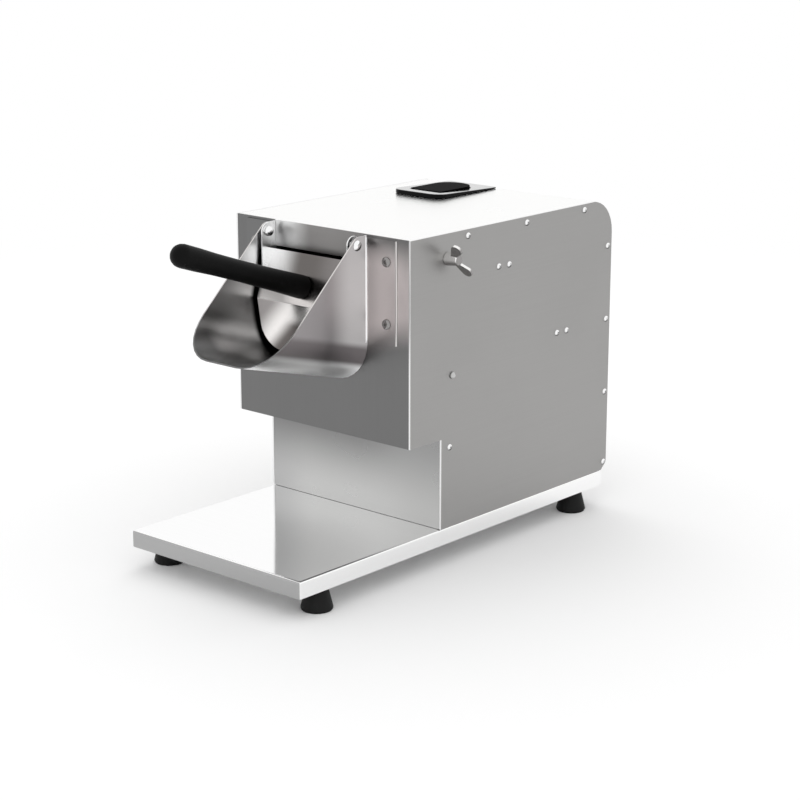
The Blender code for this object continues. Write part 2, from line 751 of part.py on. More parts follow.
def chute_trim_outline():
    """The chute's side view, (y, z): back edge, ear and slanted mouth, left open below the floor."""
    back = HEAD_FRONT_Y - GAP
    below = CHUTE_FLOOR_RISE
    turn = math.degrees(MOUTH_ANGLE)
    set_back = EAR_ROUND * math.tan(MOUTH_ANGLE / 2)
    centre = (EAR_Y + set_back, EAR_TOP - EAR_ROUND)
    points = [(back, CHUTE_FLOOR_Z - below), (back, EAR_TOP)]
    points += arc(centre, EAR_ROUND, 90, 90 + turn, 3)
    points.append((LIP_Y - below / math.tan(MOUTH_ANGLE), LIP_Z - below))
    return points


def feed_chute():
    build = bmesh.new()
    profile = trough_profile(0)
    inner_end = CHUTE_FLOOR_RISE
    outer_end = -CHUTE_REACH * 2
    near = [build.verts.new((x, inner_end, rise)) for x, rise in profile]
    far = [build.verts.new((x, outer_end, rise)) for x, rise in profile]
    for i in range(len(profile) - 1):
        build.faces.new((near[i], near[i + 1], far[i + 1], far[i]))
    mesh = finished_mesh("feed_chute", build)
    smooth(mesh)
    place = (0, HEAD_FRONT_Y, CHUTE_FLOOR_Z)
    obj = add_part("feed_chute", mesh, "chute_steel", place, (-CHUTE_SLOPE, 0, 0))
    shell = obj.modifiers.new("sheet", "SOLIDIFY")
    shell.thickness = CHUTE_SHEET
    shell.offset = -1
    shell.use_even_offset = True
    half = CHUTE_HALF + CHUTE_BEND
    combine(obj, side_helper("chute_trim", chute_trim_outline(), -half, half), "INTERSECT")
    top = HEAD_TOP - FLANGE_TOP_DROP
    back = HEAD_FRONT_Y - GAP
    for side, name in ((-1, "chute_flange_left"), (1, "chute_flange_right")):
        inner = side * (CHUTE_HALF - CHUTE_SHEET / 2)
        outer = side * FLANGE_SPAN / 2
        low = (min(inner, outer), back - CHUTE_SHEET, top - FLANGE_HEIGHT)
        high = (max(inner, outer), back, top)
        join(obj, add_helper(name, box_mesh(name, low, high)))
        join(obj, flange_bend(name + "_bend", side, back, top))
    rods = [(PIN_RADIUS + GAP, "X", (-CHUTE_WIDTH, PIVOT_Y, PIVOT_Z), 2 * CHUTE_WIDTH)]
    for x, z in chute_screw_places():
        start = (x, HEAD_FRONT_Y - CHUTE_SCREW_LENGTH, z)
        rods.append((CHUTE_SCREW_RADIUS + GAP, "Y", start, 2 * CHUTE_SCREW_LENGTH))
    cut(obj, add_helper("chute_holes", rod_mesh("chute_holes", rods, 12)))
    return obj


def flange_bend(name, side, back, top):
    """The rounded inside corner between a wall's outer face and the front of its flange."""
    sunk = GAP / 3
    centre = (CHUTE_HALF + FLANGE_BEND - sunk, back - CHUTE_SHEET - FLANGE_BEND + sunk)
    inside = (CHUTE_HALF - CHUTE_SHEET / 2, back - CHUTE_SHEET / 2)
    outline = [inside, (centre[0], inside[1])]
    outline += arc(centre, FLANGE_BEND, 90, 180, 4)
    outline.append((inside[0], centre[1]))
    mesh = plate_mesh(name, [[(side * x, y) for x, y in outline]], FLANGE_HEIGHT - 2 * GAP)
    return add_helper(name, mesh, (0, 0, top - FLANGE_HEIGHT / 2))


def chute_screws():
    face = GAP + CHUTE_SHEET + GAP
    profile = [
        (0, face + CHUTE_SCREW_RISE),
        (CHUTE_SCREW_HEAD * 0.55, face + CHUTE_SCREW_RISE),
        (CHUTE_SCREW_HEAD * 0.88, face + CHUTE_SCREW_RISE * 0.6),
        (CHUTE_SCREW_HEAD, face),
        (CHUTE_SCREW_RADIUS, face),
        (CHUTE_SCREW_RADIUS, face - CHUTE_SCREW_LENGTH),
        (0, face - CHUTE_SCREW_LENGTH),
    ]
    corners = ("top_left", "top_right", "low_left", "low_right")
    for corner, (x, z) in zip(corners, chute_screw_places()):
        turned("chute_screw_" + corner, profile, "bright_steel", (x, HEAD_FRONT_Y, z), ALONG_MINUS_Y, 16)


# Pusher and handle, in the pusher's own frame: the origin is on the hinge axis, -Z runs down the plate

def pusher_side_line():
    """The plate's middle line, (y, z), from its top edge over the bend to the tongue's end."""
    radius = PUSHER_BEND_RADIUS
    trim = radius * math.tan(PUSHER_BEND / 2)
    points = [(PUSHER_SET_BACK, -PUSHER_TOP_EDGE)]
    centre = (PUSHER_SET_BACK + radius, -PUSHER_BEND_DROP + trim)
    points += arc(centre, radius, 180, 180 + math.degrees(PUSHER_BEND), 3)
    points.append(tongue_point(TONGUE_LENGTH + PUSHER_SHEET))
    return points


def tongue_point(down):
    """A point (y, z) of the tongue's middle line, at a distance below the bend."""
    return (
        PUSHER_SET_BACK + down * math.sin(PUSHER_BEND),
        -PUSHER_BEND_DROP - down * math.cos(PUSHER_BEND),
    )


def cheek_outline():
    """The ear and cheek, (y, z): round over the hinge, upright in front, closed by the plate's line."""
    lean = PUSHER_LEAN
    low = (PUSHER_SET_BACK + EAR_RADIUS * math.cos(lean)) / math.sin(lean)
    upright = arc((0, 0), EAR_RADIUS, -20, 180, 10)
    upright.append((-EAR_RADIUS, -low))
    points = []
    for y, z in upright:
        points.append((y * math.cos(lean) - z * math.sin(lean), y * math.sin(lean) + z * math.cos(lean)))
    points.append((PUSHER_SET_BACK, -PUSHER_TOP_EDGE))
    return points


def pusher_plate():
    half = CHUTE_INNER_HALF - PUSHER_SIDE_GAP
    line = pusher_side_line()
    build = bmesh.new()
    left = [build.verts.new((-half, y, z)) for y, z in line]
    right = [build.verts.new((half, y, z)) for y, z in line]
    for i in range(len(line) - 1):
        build.faces.new((left[i], left[i + 1], right[i + 1], right[i]))
    mesh = finished_mesh("pusher_plate", build)
    smooth(mesh)
    obj = add_part("pusher_plate", mesh, "chute_steel", (0, PIVOT_Y, PIVOT_Z), (-PUSHER_LEAN, 0, 0))
    shell = obj.modifiers.new("sheet", "SOLIDIFY")
    shell.thickness = PUSHER_SHEET
    shell.offset = 0
    shell.use_even_offset = True
    end_y, end_z = tongue_point(TONGUE_LENGTH)
    low = end_z * math.cos(PUSHER_BEND) - end_y * math.sin(PUSHER_BEND)
    wide = half + GAP
    corners = rounded_rectangle((-wide, low), (wide, HEAD_HEIGHT), TONGUE_CORNER, 6)
    trim = plate_mesh("tongue_trim", [corners], 2 * HEAD_HEIGHT)
    turn = (math.pi / 2 - PUSHER_LEAN + PUSHER_BEND, 0, 0)
    combine(obj, add_helper("tongue_trim", trim, (0, PIVOT_Y, PIVOT_Z), turn), "INTERSECT")
    for side, name in ((-1, "pusher_ear_left"), (1, "pusher_ear_right")):
        ear = plate_mesh(name, [cheek_outline()], PUSHER_SHEET)
        ear.transform(Matrix.Rotation(math.pi / 2, 4, "Z") @ Matrix.Rotation(math.pi / 2, 4, "X"))
        x = side * (half - PUSHER_SHEET / 2)
        join(obj, add_helper(name, ear, (x, PIVOT_Y, PIVOT_Z), (-PUSHER_LEAN, 0, 0)))
    stud_start = (0, PUSHER_SET_BACK - 2 * PUSHER_SHEET, -HANDLE_DROP)
    rods = [
        (PIN_RADIUS + GAP, "X", (-CHUTE_WIDTH, 0, 0), 2 * CHUTE_WIDTH),
        (STUD_RADIUS + GAP, "Y", stud_start, 4 * PUSHER_SHEET),
    ]
    holes = rod_mesh("pusher_holes", rods, 12)
    cut(obj, add_helper("pusher_holes", holes, (0, PIVOT_Y, PIVOT_Z), (-PUSHER_LEAN, 0, 0)))
    return obj


def pivot_pins():
    """A pin through each chute ear, with a dome outside, a collar in the side gap and a dome inside."""
    outside = CHUTE_HALF + GAP
    inside = CHUTE_INNER_HALF - GAP
    ear_out = CHUTE_INNER_HALF - PUSHER_SIDE_GAP + GAP
    ear_in = ear_out - PUSHER_SHEET - 2 * GAP
    profile = [
        (0, outside + PIN_DOME_RISE),
        (PIN_DOME_RADIUS * 0.5, outside + PIN_DOME_RISE * 0.9),
        (PIN_DOME_RADIUS * 0.87, outside + PIN_DOME_RISE * 0.5),
        (PIN_DOME_RADIUS, outside),
        (PIN_RADIUS, outside),
        (PIN_RADIUS, inside),
        (PIN_COLLAR_RADIUS, inside),
        (PIN_COLLAR_RADIUS, ear_out),
        (PIN_RADIUS, ear_out),
        (PIN_RADIUS, ear_in),
        (PIN_INNER_RADIUS, ear_in),
        (PIN_INNER_RADIUS * 0.87, ear_in - PIN_INNER_RISE * 0.6),
        (PIN_INNER_RADIUS * 0.5, ear_in - PIN_INNER_RISE * 0.93),
        (0, ear_in - PIN_INNER_RISE),
    ]
    turned("pivot_pin_right", profile, "bright_steel", (0, PIVOT_Y, PIVOT_Z), ALONG_X, 16)
    turned("pivot_pin_left", profile, "bright_steel", (0, PIVOT_Y, PIVOT_Z), ALONG_MINUS_X, 16)


def handle_axis_point(out):
    """A point on the handle's axis, at a distance in front of the plate's middle."""
    ahead = out - PUSHER_SET_BACK
    y = PIVOT_Y - HANDLE_DROP * math.sin(PUSHER_LEAN) - ahead * math.cos(PUSHER_LEAN)
    z = PIVOT_Z - HANDLE_DROP * math.cos(PUSHER_LEAN) + ahead * math.sin(PUSHER_LEAN)
    return (0, y, z)


def handle():
    """The grip, its stud and the nut behind the plate. Heights run out along the handle."""
    turn = (math.pi / 2 - PUSHER_LEAN, 0, 0)
    place = handle_axis_point(0)
    seat = PUSHER_SHEET / 2 + GAP
    tip = seat + GRIP_LENGTH
    bore = STUD_RADIUS + GAP
    bore_end = STUD_REACH + GAP
    grip = [(0, tip)]
    for i in range(1, 6):
        angle = math.radians(90 * i / 5)
        grip.append((GRIP_TIP_RADIUS * math.sin(angle), tip - GRIP_TIP_RADIUS * (1 - math.cos(angle))))
    grip += [(radius, seat + GRIP_LENGTH * share) for share, radius in reversed(GRIP_SHAPE)]
    grip += [
        (GRIP_SEAT_RADIUS, seat + GRIP_SEAT_ROUND),
        (GRIP_SEAT_RADIUS - GRIP_SEAT_ROUND, seat),
        (bore, seat),
        (bore, bore_end),
        (0, bore_end),
    ]
    turned("handle_grip", grip, "black_grip", place, turn, 24)
    nut_face = -PUSHER_SHEET / 2 - GAP
    stud_end = nut_face - NUT_HEIGHT - STUD_RADIUS / 2
    stud = disc_profile(STUD_RADIUS, STUD_REACH, stud_end)
    turned("handle_stud", stud, "zinc_steel", place, turn, 12)
    corners = circle((0, 0), NUT_ACROSS / math.sqrt(3), 6)
    nut = plate_mesh("handle_nut", [corners, circle((0, 0), STUD_RADIUS + GAP)], NUT_HEIGHT)
    add_part("handle_nut", nut, "zinc_steel", handle_axis_point(nut_face - NUT_HEIGHT / 2), turn)


# Drum cassette

def drum():
    place = (0, DRUM_Y, DRUM_Z)
    inner = DRUM_RADIUS - DRUM_WALL
    tube = ring_profile(inner, DRUM_RADIUS, DRUM_LENGTH)
    turned("grater_drum", tube, "bright_steel", place, ALONG_X, 40)
    outer_face = DRUM_LENGTH / 2
    disc = [
        (SHAFT_RADIUS + GAP, outer_face),
        (inner - GAP, outer_face),
        (inner - GAP, outer_face - DRUM_DISC),
        (HUB_RADIUS, outer_face - DRUM_DISC),
        (HUB_RADIUS, outer_face - HUB_LENGTH),
        (SHAFT_RADIUS + GAP, outer_face - HUB_LENGTH),
    ]
    turned("drum_disc_right", disc, "aluminium", place, ALONG_X, 28)
    turned("drum_disc_left", disc, "aluminium", place, ALONG_MINUS_X, 28)
    left_end = -BELT_PLANE_X + BELT_WIDTH / 2 + PULLEY_FLANGE
    right_end = CASSETTE_HALF + BEARING_PLATE
    shaft = disc_profile(SHAFT_RADIUS, right_end, -left_end, EDGE_ROUND)
    turned("drum_shaft", shaft, "bright_steel", place, ALONG_X, 16)


def cassette_outline():
    front = HEAD_FRONT_Y + CASSETTE_FRONT_IN
    back = HEAD_FRONT_Y + CASSETTE_BACK_IN
    low = HEAD_BOTTOM + CASSETTE_LOW
    return rounded_rectangle((front, low), (back, HEAD_TOP - CASSETTE_TOP_ROOM), CASSETTE_CORNER)


def cassette():
    holes = [
        circle((DRUM_Y, DRUM_Z), BEARING_RADIUS + GAP, 20),
        circle((WING_Y, WING_Z), WING_SHANK + GAP),
        circle((CASSETTE_SCREW_Y, CASSETTE_SCREW_Z), PAN_SCREW_RADIUS + GAP),
    ]
    for side, name in ((-1, "left"), (1, "right")):
        near = side * CASSETTE_HALF
        far = side * (CASSETTE_HALF + BEARING_PLATE)
        low = min(near, far)
        high = max(near, far)
        side_plate("bearing_plate_" + name, [cassette_outline()] + holes, low, high, "aluminium")
        middle = ((near + far) / 2, DRUM_Y, DRUM_Z)
        ring = ring_profile(SHAFT_RADIUS + GAP, BEARING_RADIUS, BEARING_PLATE)
        turned("bearing_" + name, ring, "bright_steel", middle, ALONG_X, 20)


def shroud_line():
    """The shroud's line, (y, z): over the drum, down its back and forward to the outlet."""
    radius = DRUM_RADIUS + SHROUD_CLEARANCE
    front = HEAD_FRONT_Y + SHEET + GAP
    points = [(front, DRUM_Z + radius + GAP)]
    points += arc((DRUM_Y, DRUM_Z), radius, 90, -35, 12)
    points.append((HEAD_FRONT_Y + OUTLET_BACK_IN - SHEET, HEAD_BOTTOM + 2 * SHEET + GAP))
    return points


def drum_shroud():
    half = CASSETTE_HALF - GAP
    build = bmesh.new()
    line = shroud_line()
    left = [build.verts.new((-half, y, z)) for y, z in line]
    right = [build.verts.new((half, y, z)) for y, z in line]
    for i in range(len(line) - 1):
        build.faces.new((left[i], left[i + 1], right[i + 1], right[i]))
    mesh = finished_mesh("drum_shroud", build)
    smooth(mesh)
    obj = add_part("drum_shroud", mesh, "bright_steel")
    shell = obj.modifiers.new("sheet", "SOLIDIFY")
    shell.thickness = SHEET
    shell.offset = -1
    return obj


def spacers_and_bolts():
    """Tubes between the cassette and the side panels, with a wing bolt above and a pan screw below."""
    inner = CASSETTE_HALF + BEARING_PLATE + GAP
    outer = INNER_HALF
    middle = (inner + outer) / 2
    upper = ring_profile(WING_SHANK + GAP, SPACER_RADIUS, outer - inner)
    lower = ring_profile(PAN_SCREW_RADIUS + GAP, SPACER_RADIUS, outer - inner)
    face = BODY_WIDTH / 2 + GAP
    pan = [
        (0, face + PAN_HEAD_RISE),
        (PAN_HEAD_RADIUS * 0.6, face + PAN_HEAD_RISE),
        (PAN_HEAD_RADIUS * 0.93, face + PAN_HEAD_RISE * 0.55),
        (PAN_HEAD_RADIUS, face),
        (PAN_SCREW_RADIUS, face),
        (PAN_SCREW_RADIUS, face - PAN_SCREW_LENGTH),
        (0, face - PAN_SCREW_LENGTH),
    ]
    for side, name, turn in ((-1, "left", ALONG_MINUS_X), (1, "right", ALONG_X)):
        high_place = (side * middle, WING_Y, WING_Z)
        low_place = (side * middle, CASSETTE_SCREW_Y, CASSETTE_SCREW_Z)
        screw_place = (0, CASSETTE_SCREW_Y, CASSETTE_SCREW_Z)
        turned("upper_spacer_" + name, upper, "zinc_steel", high_place, ALONG_X, 14)
        turned("lower_spacer_" + name, lower, "zinc_steel", low_place, ALONG_X, 14)
        turned("cassette_screw_" + name, pan, "bright_steel", screw_place, turn, 14)
        wing_bolt("wing_bolt_" + name, side, turn)


def wing_bolt(name, side, turn):
    face = BODY_WIDTH / 2 + GAP
    hub_end = face + WING_HUB_LENGTH
    inner_end = CASSETTE_HALF + GAP
    profile = [
        (0, hub_end),
        (WING_HUB_RADIUS * 0.72, hub_end),
        (WING_HUB_RADIUS * 0.80, hub_end - EDGE_ROUND),
        (WING_HUB_RADIUS, face + EDGE_ROUND),
        (WING_HUB_RADIUS, face),
        (WING_SHANK, face),
        (WING_SHANK, inner_end),
        (0, inner_end),
    ]
    bolt = turned(name, profile, "bright_steel", (0, WING_Y, WING_Z), turn, 16)
    middle_x = side * (face + WING_HUB_LENGTH * 0.62)
    root = WING_HUB_RADIUS * 0.5
    reach = WING_REACH - WING_TIP_RADIUS
    wing = [(root, -WING_TIP_RADIUS * 0.5)]
    wing += arc((reach, WING_FLARE), WING_TIP_RADIUS, -60, 130, 7)
    wing.append((root, WING_TIP_RADIUS * 0.55))
    for i, wing_side in enumerate((1, -1)):
        mesh = plate_mesh(name + "_wing", [wing], WING_THICKNESS)
        if wing_side < 0:
            mesh.transform(Matrix.Rotation(math.pi, 4, "Y"))
        mesh.transform(Matrix.Rotation(math.pi / 2, 4, "X"))
        stand = Matrix.Rotation(side * math.pi / 2, 4, "Y")
        spin = Matrix.Rotation(WING_TURN, 4, "X")
        mesh.transform(spin @ stand)
        join(bolt, add_helper(name + "_wing_" + "ab"[i], mesh, (middle_x, WING_Y, WING_Z)))
    return bolt


# Belt drive and motor

def pulley_profile(radius, bore):
    half = BELT_WIDTH / 2 + GAP
    edge = half + PULLEY_FLANGE
    rim = radius + PULLEY_RIM
    seat = radius - BELT_THICKNESS / 2 - GAP
    right = [(bore, edge), (rim, edge), (rim, half), (seat, half)]
    left = [(seat, -half), (rim, -half), (rim, -edge), (bore, -edge)]
    return right + left


def belt_outline(shift):
    """The belt's loop, (y, z), around both pulleys, moved out by the shift."""
    big = DRUM_PULLEY_RADIUS + shift
    small = MOTOR_PULLEY_RADIUS + shift
    run_y = MOTOR_Y - DRUM_Y
    run_z = MOTOR_Z - DRUM_Z
    distance = math.hypot(run_y, run_z)
    heading = math.degrees(math.atan2(run_z, run_y))
    lean = math.degrees(math.acos((DRUM_PULLEY_RADIUS - MOTOR_PULLEY_RADIUS) / distance))
    points = arc((DRUM_Y, DRUM_Z), big, heading + lean, heading + 360 - lean, 16)
    points += arc((MOTOR_Y, MOTOR_Z), small, heading - lean, heading + lean, 10)
    return points


def belt_drive():
    bore = SHAFT_RADIUS + GAP
    place = (BELT_PLANE_X, DRUM_Y, DRUM_Z)
    turned("drum_pulley", pulley_profile(DRUM_PULLEY_RADIUS, bore), "aluminium", place, ALONG_X, 28)
    place = (BELT_PLANE_X, MOTOR_Y, MOTOR_Z)
    bore = MOTOR_SHAFT_RADIUS + GAP
    turned("motor_pulley", pulley_profile(MOTOR_PULLEY_RADIUS, bore), "aluminium", place, ALONG_X, 20)
    outlines = [belt_outline(BELT_THICKNESS / 2), belt_outline(-BELT_THICKNESS / 2)]
    low = BELT_PLANE_X - BELT_WIDTH / 2
    side_plate("drive_belt", outlines, low, low + BELT_WIDTH, "black_rubber")


def motor():
    place = (MOTOR_BODY_X, MOTOR_Y, MOTOR_Z)
    half = MOTOR_BODY_LENGTH / 2
    bore = MOTOR_RADIUS - MOTOR_WALL
    tube = ring_profile(bore, MOTOR_RADIUS, MOTOR_BODY_LENGTH)
    body = turned("motor_body", tube, "motor_paint", place, ALONG_X, 32)
    foot_half = MOTOR_FOOT_WIDTH / 2
    low = (MOTOR_BODY_X - half * 0.8, MOTOR_Y - foot_half, SHELF_TOP + GAP)
    high = (MOTOR_BODY_X + half * 0.8, MOTOR_Y + foot_half, MOTOR_Z - bore * 0.9)
    join(body, add_helper("motor_foot", box_mesh("motor_foot", low, high)))
    start = (MOTOR_BODY_X - half * 2, MOTOR_Y, MOTOR_Z)
    cut(body, add_helper("motor_bore", rod_mesh("motor_bore", [(bore, "X", start, half * 4)], 32)))
    seat = half + GAP
    hole = MOTOR_SHAFT_RADIUS + GAP
    bell = [
        (hole, seat + BELL_LENGTH),
        (BELL_NOSE_RADIUS, seat + BELL_LENGTH),
        (BELL_NOSE_RADIUS, seat + BELL_LENGTH * 0.7),
        (MOTOR_RADIUS * 0.9, seat + BELL_LENGTH * 0.45),
        (MOTOR_RADIUS, seat + BELL_LENGTH * 0.2),
        (MOTOR_RADIUS, seat),
        (hole, seat),
    ]
    turned("motor_bell_right", bell, "aluminium", place, ALONG_X, 28)
    turned("motor_bell_left", bell, "aluminium", place, ALONG_MINUS_X, 28)
    pulley_end = BELT_PLANE_X - BELT_WIDTH / 2 - PULLEY_FLANGE - MOTOR_BODY_X
    fan_end = half + BELL_LENGTH + FAN_WIDTH + 4 * GAP
    rotor_half = ROTOR_LENGTH / 2
    rotor = [
        (0, fan_end),
        (MOTOR_SHAFT_RADIUS, fan_end),
        (MOTOR_SHAFT_RADIUS, rotor_half),
        (ROTOR_RADIUS, rotor_half),
        (ROTOR_RADIUS, -rotor_half),
        (MOTOR_SHAFT_RADIUS, -rotor_half),
        (MOTOR_SHAFT_RADIUS, pulley_end),
        (0, pulley_end),
    ]
    turned("motor_rotor", rotor, "zinc_steel", place, ALONG_X, 24)
    motor_fan(half + BELL_LENGTH + 3 * GAP)


def motor_fan(start):
    hub = MOTOR_SHAFT_RADIUS * 1.8
    x = MOTOR_BODY_X + start + FAN_WIDTH / 2
    ring = ring_profile(MOTOR_SHAFT_RADIUS + GAP, hub, FAN_WIDTH)
    fan = turned("motor_fan", ring, "black_plastic", (x, MOTOR_Y, MOTOR_Z), ALONG_X, 16)
    build = bmesh.new()
    length = FAN_RADIUS - hub * 0.8
    for i in range(FAN_BLADES):
        turn = Matrix.Rotation(2 * math.pi * i / FAN_BLADES, 4, "X")
        slide = Matrix.Translation((0, 0, hub * 0.8 + length / 2))
        size = Matrix.Diagonal((FAN_WIDTH * 0.9, SHEET, length, 1))
        bmesh.ops.create_cube(build, size=1.0, matrix=turn @ slide @ size)
    join(fan, add_helper("fan_blades", finished_mesh("fan_blades", build), (x, MOTOR_Y, MOTOR_Z)))


def motor_shelf():
    half = INNER_HALF
    low_y = MOTOR_Y - SHELF_DEPTH / 2
    high_y = MOTOR_Y + SHELF_DEPTH / 2
    corner = (half, high_y, SHELF_TOP + SHELF_FLANGE)
    mesh = box_mesh("motor_shelf", (-half, low_y, SHELF_TOP - SHELF_SHEET), corner)
    obj = add_part("motor_shelf", mesh, "zinc_steel")
    inner = half - SHELF_SHEET
    room = box_mesh(
        "motor_shelf_room",
        (-inner, low_y - SHELF_FLANGE, SHELF_TOP),
        (inner, high_y + SHELF_FLANGE, SHELF_TOP + 2 * SHELF_FLANGE),
    )
    cut(obj, add_helper("motor_shelf_room", room))
    return obj


def component_tray():
    half = INNER_HALF
    low_y = TRAY_Y - TRAY_DEPTH / 2
    high_y = TRAY_Y + TRAY_DEPTH / 2
    mesh = box_mesh("component_tray", (-half, low_y, TRAY_TOP - TRAY_FLANGE), (half, high_y, TRAY_TOP))
    obj = add_part("component_tray", mesh, "zinc_steel")
    inner = half - SHEET
    room = box_mesh(
        "component_tray_room",
        (-inner, low_y - TRAY_FLANGE, TRAY_TOP - 2 * TRAY_FLANGE),
        (inner, high_y + TRAY_FLANGE, TRAY_TOP - SHEET),
    )
    cut(obj, add_helper("component_tray_room", room))
    z = TRAY_TOP + GAP + CAPACITOR_RADIUS
    can = disc_profile(CAPACITOR_RADIUS, CAPACITOR_LENGTH / 2, -CAPACITOR_LENGTH / 2, EDGE_ROUND)
    turned("capacitor", can, "white_plastic", (0, TRAY_Y, z), ALONG_X, 20)
    return obj


# Switch on the top

def wedge_mesh(name, outline, rises, ends, bottom):
    """A flat-bottomed pad whose top slopes along y, from one height to the other."""
    mesh = plate_mesh(name, [outline], 1.0)
    for vertex in mesh.vertices:
        if vertex.co.z < 0:
            vertex.co.z = bottom
        else:
            share = (vertex.co.y - ends[0]) / (ends[1] - ends[0])
            vertex.co.z = rises[0] + (rises[1] - rises[0]) * share
    return mesh


def two_radius_outline(low, high, front, rear, steps):
    """A rectangle seen from above, (x, y), with one radius in front and another behind."""
    points = arc((high[0] - rear, high[1] - rear), rear, 0, 90, steps[1])
    points += arc((low[0] + rear, high[1] - rear), rear, 90, 180, steps[1])
    points += arc((low[0] + front, low[1] + front), front, 180, 270, steps[0])
    points += arc((high[0] - front, low[1] + front), front, 270, 360, steps[0])
    return points


def rocker_outline(grow):
    """The rocker seen from above, (x, y): square in front, round behind."""
    half = ROCKER_WIDTH / 2 + grow
    low = (ROCKER_X - half, ROCKER_Y - ROCKER_LENGTH / 2 - grow)
    high = (ROCKER_X + half, ROCKER_Y + ROCKER_LENGTH / 2 + grow)
    return two_radius_outline(low, high, ROCKER_CORNER + grow, ROCKER_END_ROUND + grow, (3, 5))


def switch():
    low = (SWITCH_X - SWITCH_WIDTH / 2, SWITCH_Y - SWITCH_LENGTH / 2)
    high = (SWITCH_X + SWITCH_WIDTH / 2, SWITCH_Y + SWITCH_LENGTH / 2)
    outline = two_radius_outline(low, high, SWITCH_CORNER, SWITCH_REAR_CORNER, (4, 3))
    rises = (SWITCH_RISE_FRONT, SWITCH_RISE_REAR)
    mesh = wedge_mesh("switch_bezel", outline, rises, (low[1], high[1]), GAP)
    bezel = add_part("switch_bezel", mesh, "black_plastic", (0, 0, HEAD_TOP), FACES_Z)
    hole = plate_mesh("rocker_window", [rocker_outline(ROCKER_CLEARANCE)], SWITCH_LENGTH)
    cut(bezel, add_helper("rocker_window", hole, (0, 0, HEAD_TOP)))
    top = HEAD_TOP + ROCKER_RISE
    low_z = top - ROCKER_THICKNESS
    rocker = level_plate("switch_rocker", [rocker_outline(0)], low_z, top, "black_plastic")
    axis_z = HEAD_TOP - ROCKER_AXIS_DROP
    half = ROCKER_WIDTH / 2 + ROCKER_CLEARANCE + SWITCH_ROOM - GAP
    axle = [(ROCKER_AXLE_RADIUS, "X", (ROCKER_X - half, ROCKER_Y, axis_z), 2 * half)]
    join(rocker, add_helper("rocker_axle", rod_mesh("rocker_axle", axle, 12)))
    move_origin(rocker, (ROCKER_X, ROCKER_Y, axis_z))
    switch_body()


def move_origin(obj, place):
    """Puts the object's origin at a world point and leaves its shape where it is."""
    obj.data.transform(Matrix.Translation([obj.location[i] - place[i] for i in range(3)]))
    obj.location = place


def switch_body():
    """An open box that hangs under the cover's window and holds the ends of the rocker's axle."""
    wall = ROCKER_CLEARANCE + SWITCH_ROOM + SWITCH_WALL
    half = ROCKER_WIDTH / 2 + wall
    low_y = ROCKER_Y - ROCKER_LENGTH / 2 - wall
    high_y = ROCKER_Y + ROCKER_LENGTH / 2 + wall
    top = HEAD_TOP - SHEET - GAP
    bottom = top - SWITCH_BODY_DEPTH
    mesh = box_mesh("switch_body", (ROCKER_X - half, low_y, bottom), (ROCKER_X + half, high_y, top))
    body = add_part("switch_body", mesh, "black_plastic")
    room = box_mesh(
        "switch_body_room",
        (ROCKER_X - half + SWITCH_WALL, low_y + SWITCH_WALL, bottom + SWITCH_BODY_DEPTH / 2),
        (ROCKER_X + half - SWITCH_WALL, high_y - SWITCH_WALL, top + SWITCH_BODY_DEPTH),
    )
    cut(body, add_helper("switch_body_room", room))
    return body


base_plate()
feet()
side_panels()
front_panel()
head_floor()
column_front_panel()
top_cover()
rear_cover()
power_inlet()
feed_chute()
chute_screws()
pusher_plate()
pivot_pins()
handle()
drum()
cassette()
drum_shroud()
spacers_and_bolts()
belt_drive()
motor()
motor_shelf()
component_tray()
switch()
bpy.context.view_layer.update()
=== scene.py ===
import math

import bmesh
import bpy
from mathutils import Matrix, Vector


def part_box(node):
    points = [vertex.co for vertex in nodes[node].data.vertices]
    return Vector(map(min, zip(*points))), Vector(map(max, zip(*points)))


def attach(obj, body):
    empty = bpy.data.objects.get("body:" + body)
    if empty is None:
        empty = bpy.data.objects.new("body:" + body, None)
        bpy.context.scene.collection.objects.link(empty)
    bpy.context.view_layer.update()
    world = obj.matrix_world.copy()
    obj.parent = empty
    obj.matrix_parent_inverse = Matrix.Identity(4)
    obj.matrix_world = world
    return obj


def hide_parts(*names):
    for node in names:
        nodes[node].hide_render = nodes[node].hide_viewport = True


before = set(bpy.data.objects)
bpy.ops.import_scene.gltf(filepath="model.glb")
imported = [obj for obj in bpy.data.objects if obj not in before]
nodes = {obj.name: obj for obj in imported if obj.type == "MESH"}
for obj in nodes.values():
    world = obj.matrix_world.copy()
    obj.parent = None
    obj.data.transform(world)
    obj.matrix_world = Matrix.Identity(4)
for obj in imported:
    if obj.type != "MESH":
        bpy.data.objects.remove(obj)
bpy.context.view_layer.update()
print("frame loaded:", len(nodes), "nodes")

# the looks and the screws are placed from these planes of the housing
mm = 0.001
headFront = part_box("front_panel")[0].y
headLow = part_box("front_panel")[0].z
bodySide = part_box("side_panel_right")[1].x
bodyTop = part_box("top_cover")[1].z
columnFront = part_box("column_front_panel")[0].y
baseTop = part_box("base_plate")[1].z


def span(datum, ends):
    # two ends in mm from a datum, as places in metres
    return [datum + end * mm for end in ends]


def srgb(code):
    # "#a0a0a0" to linear red, green, blue, alpha
    parts = [int(code[i:i + 2], 16) / 255 for i in (1, 3, 5)]
    return tuple(c / 12.92 if c < 0.04045 else ((c + 0.055) / 1.055) ** 2.4 for c in parts) + (1.0,)


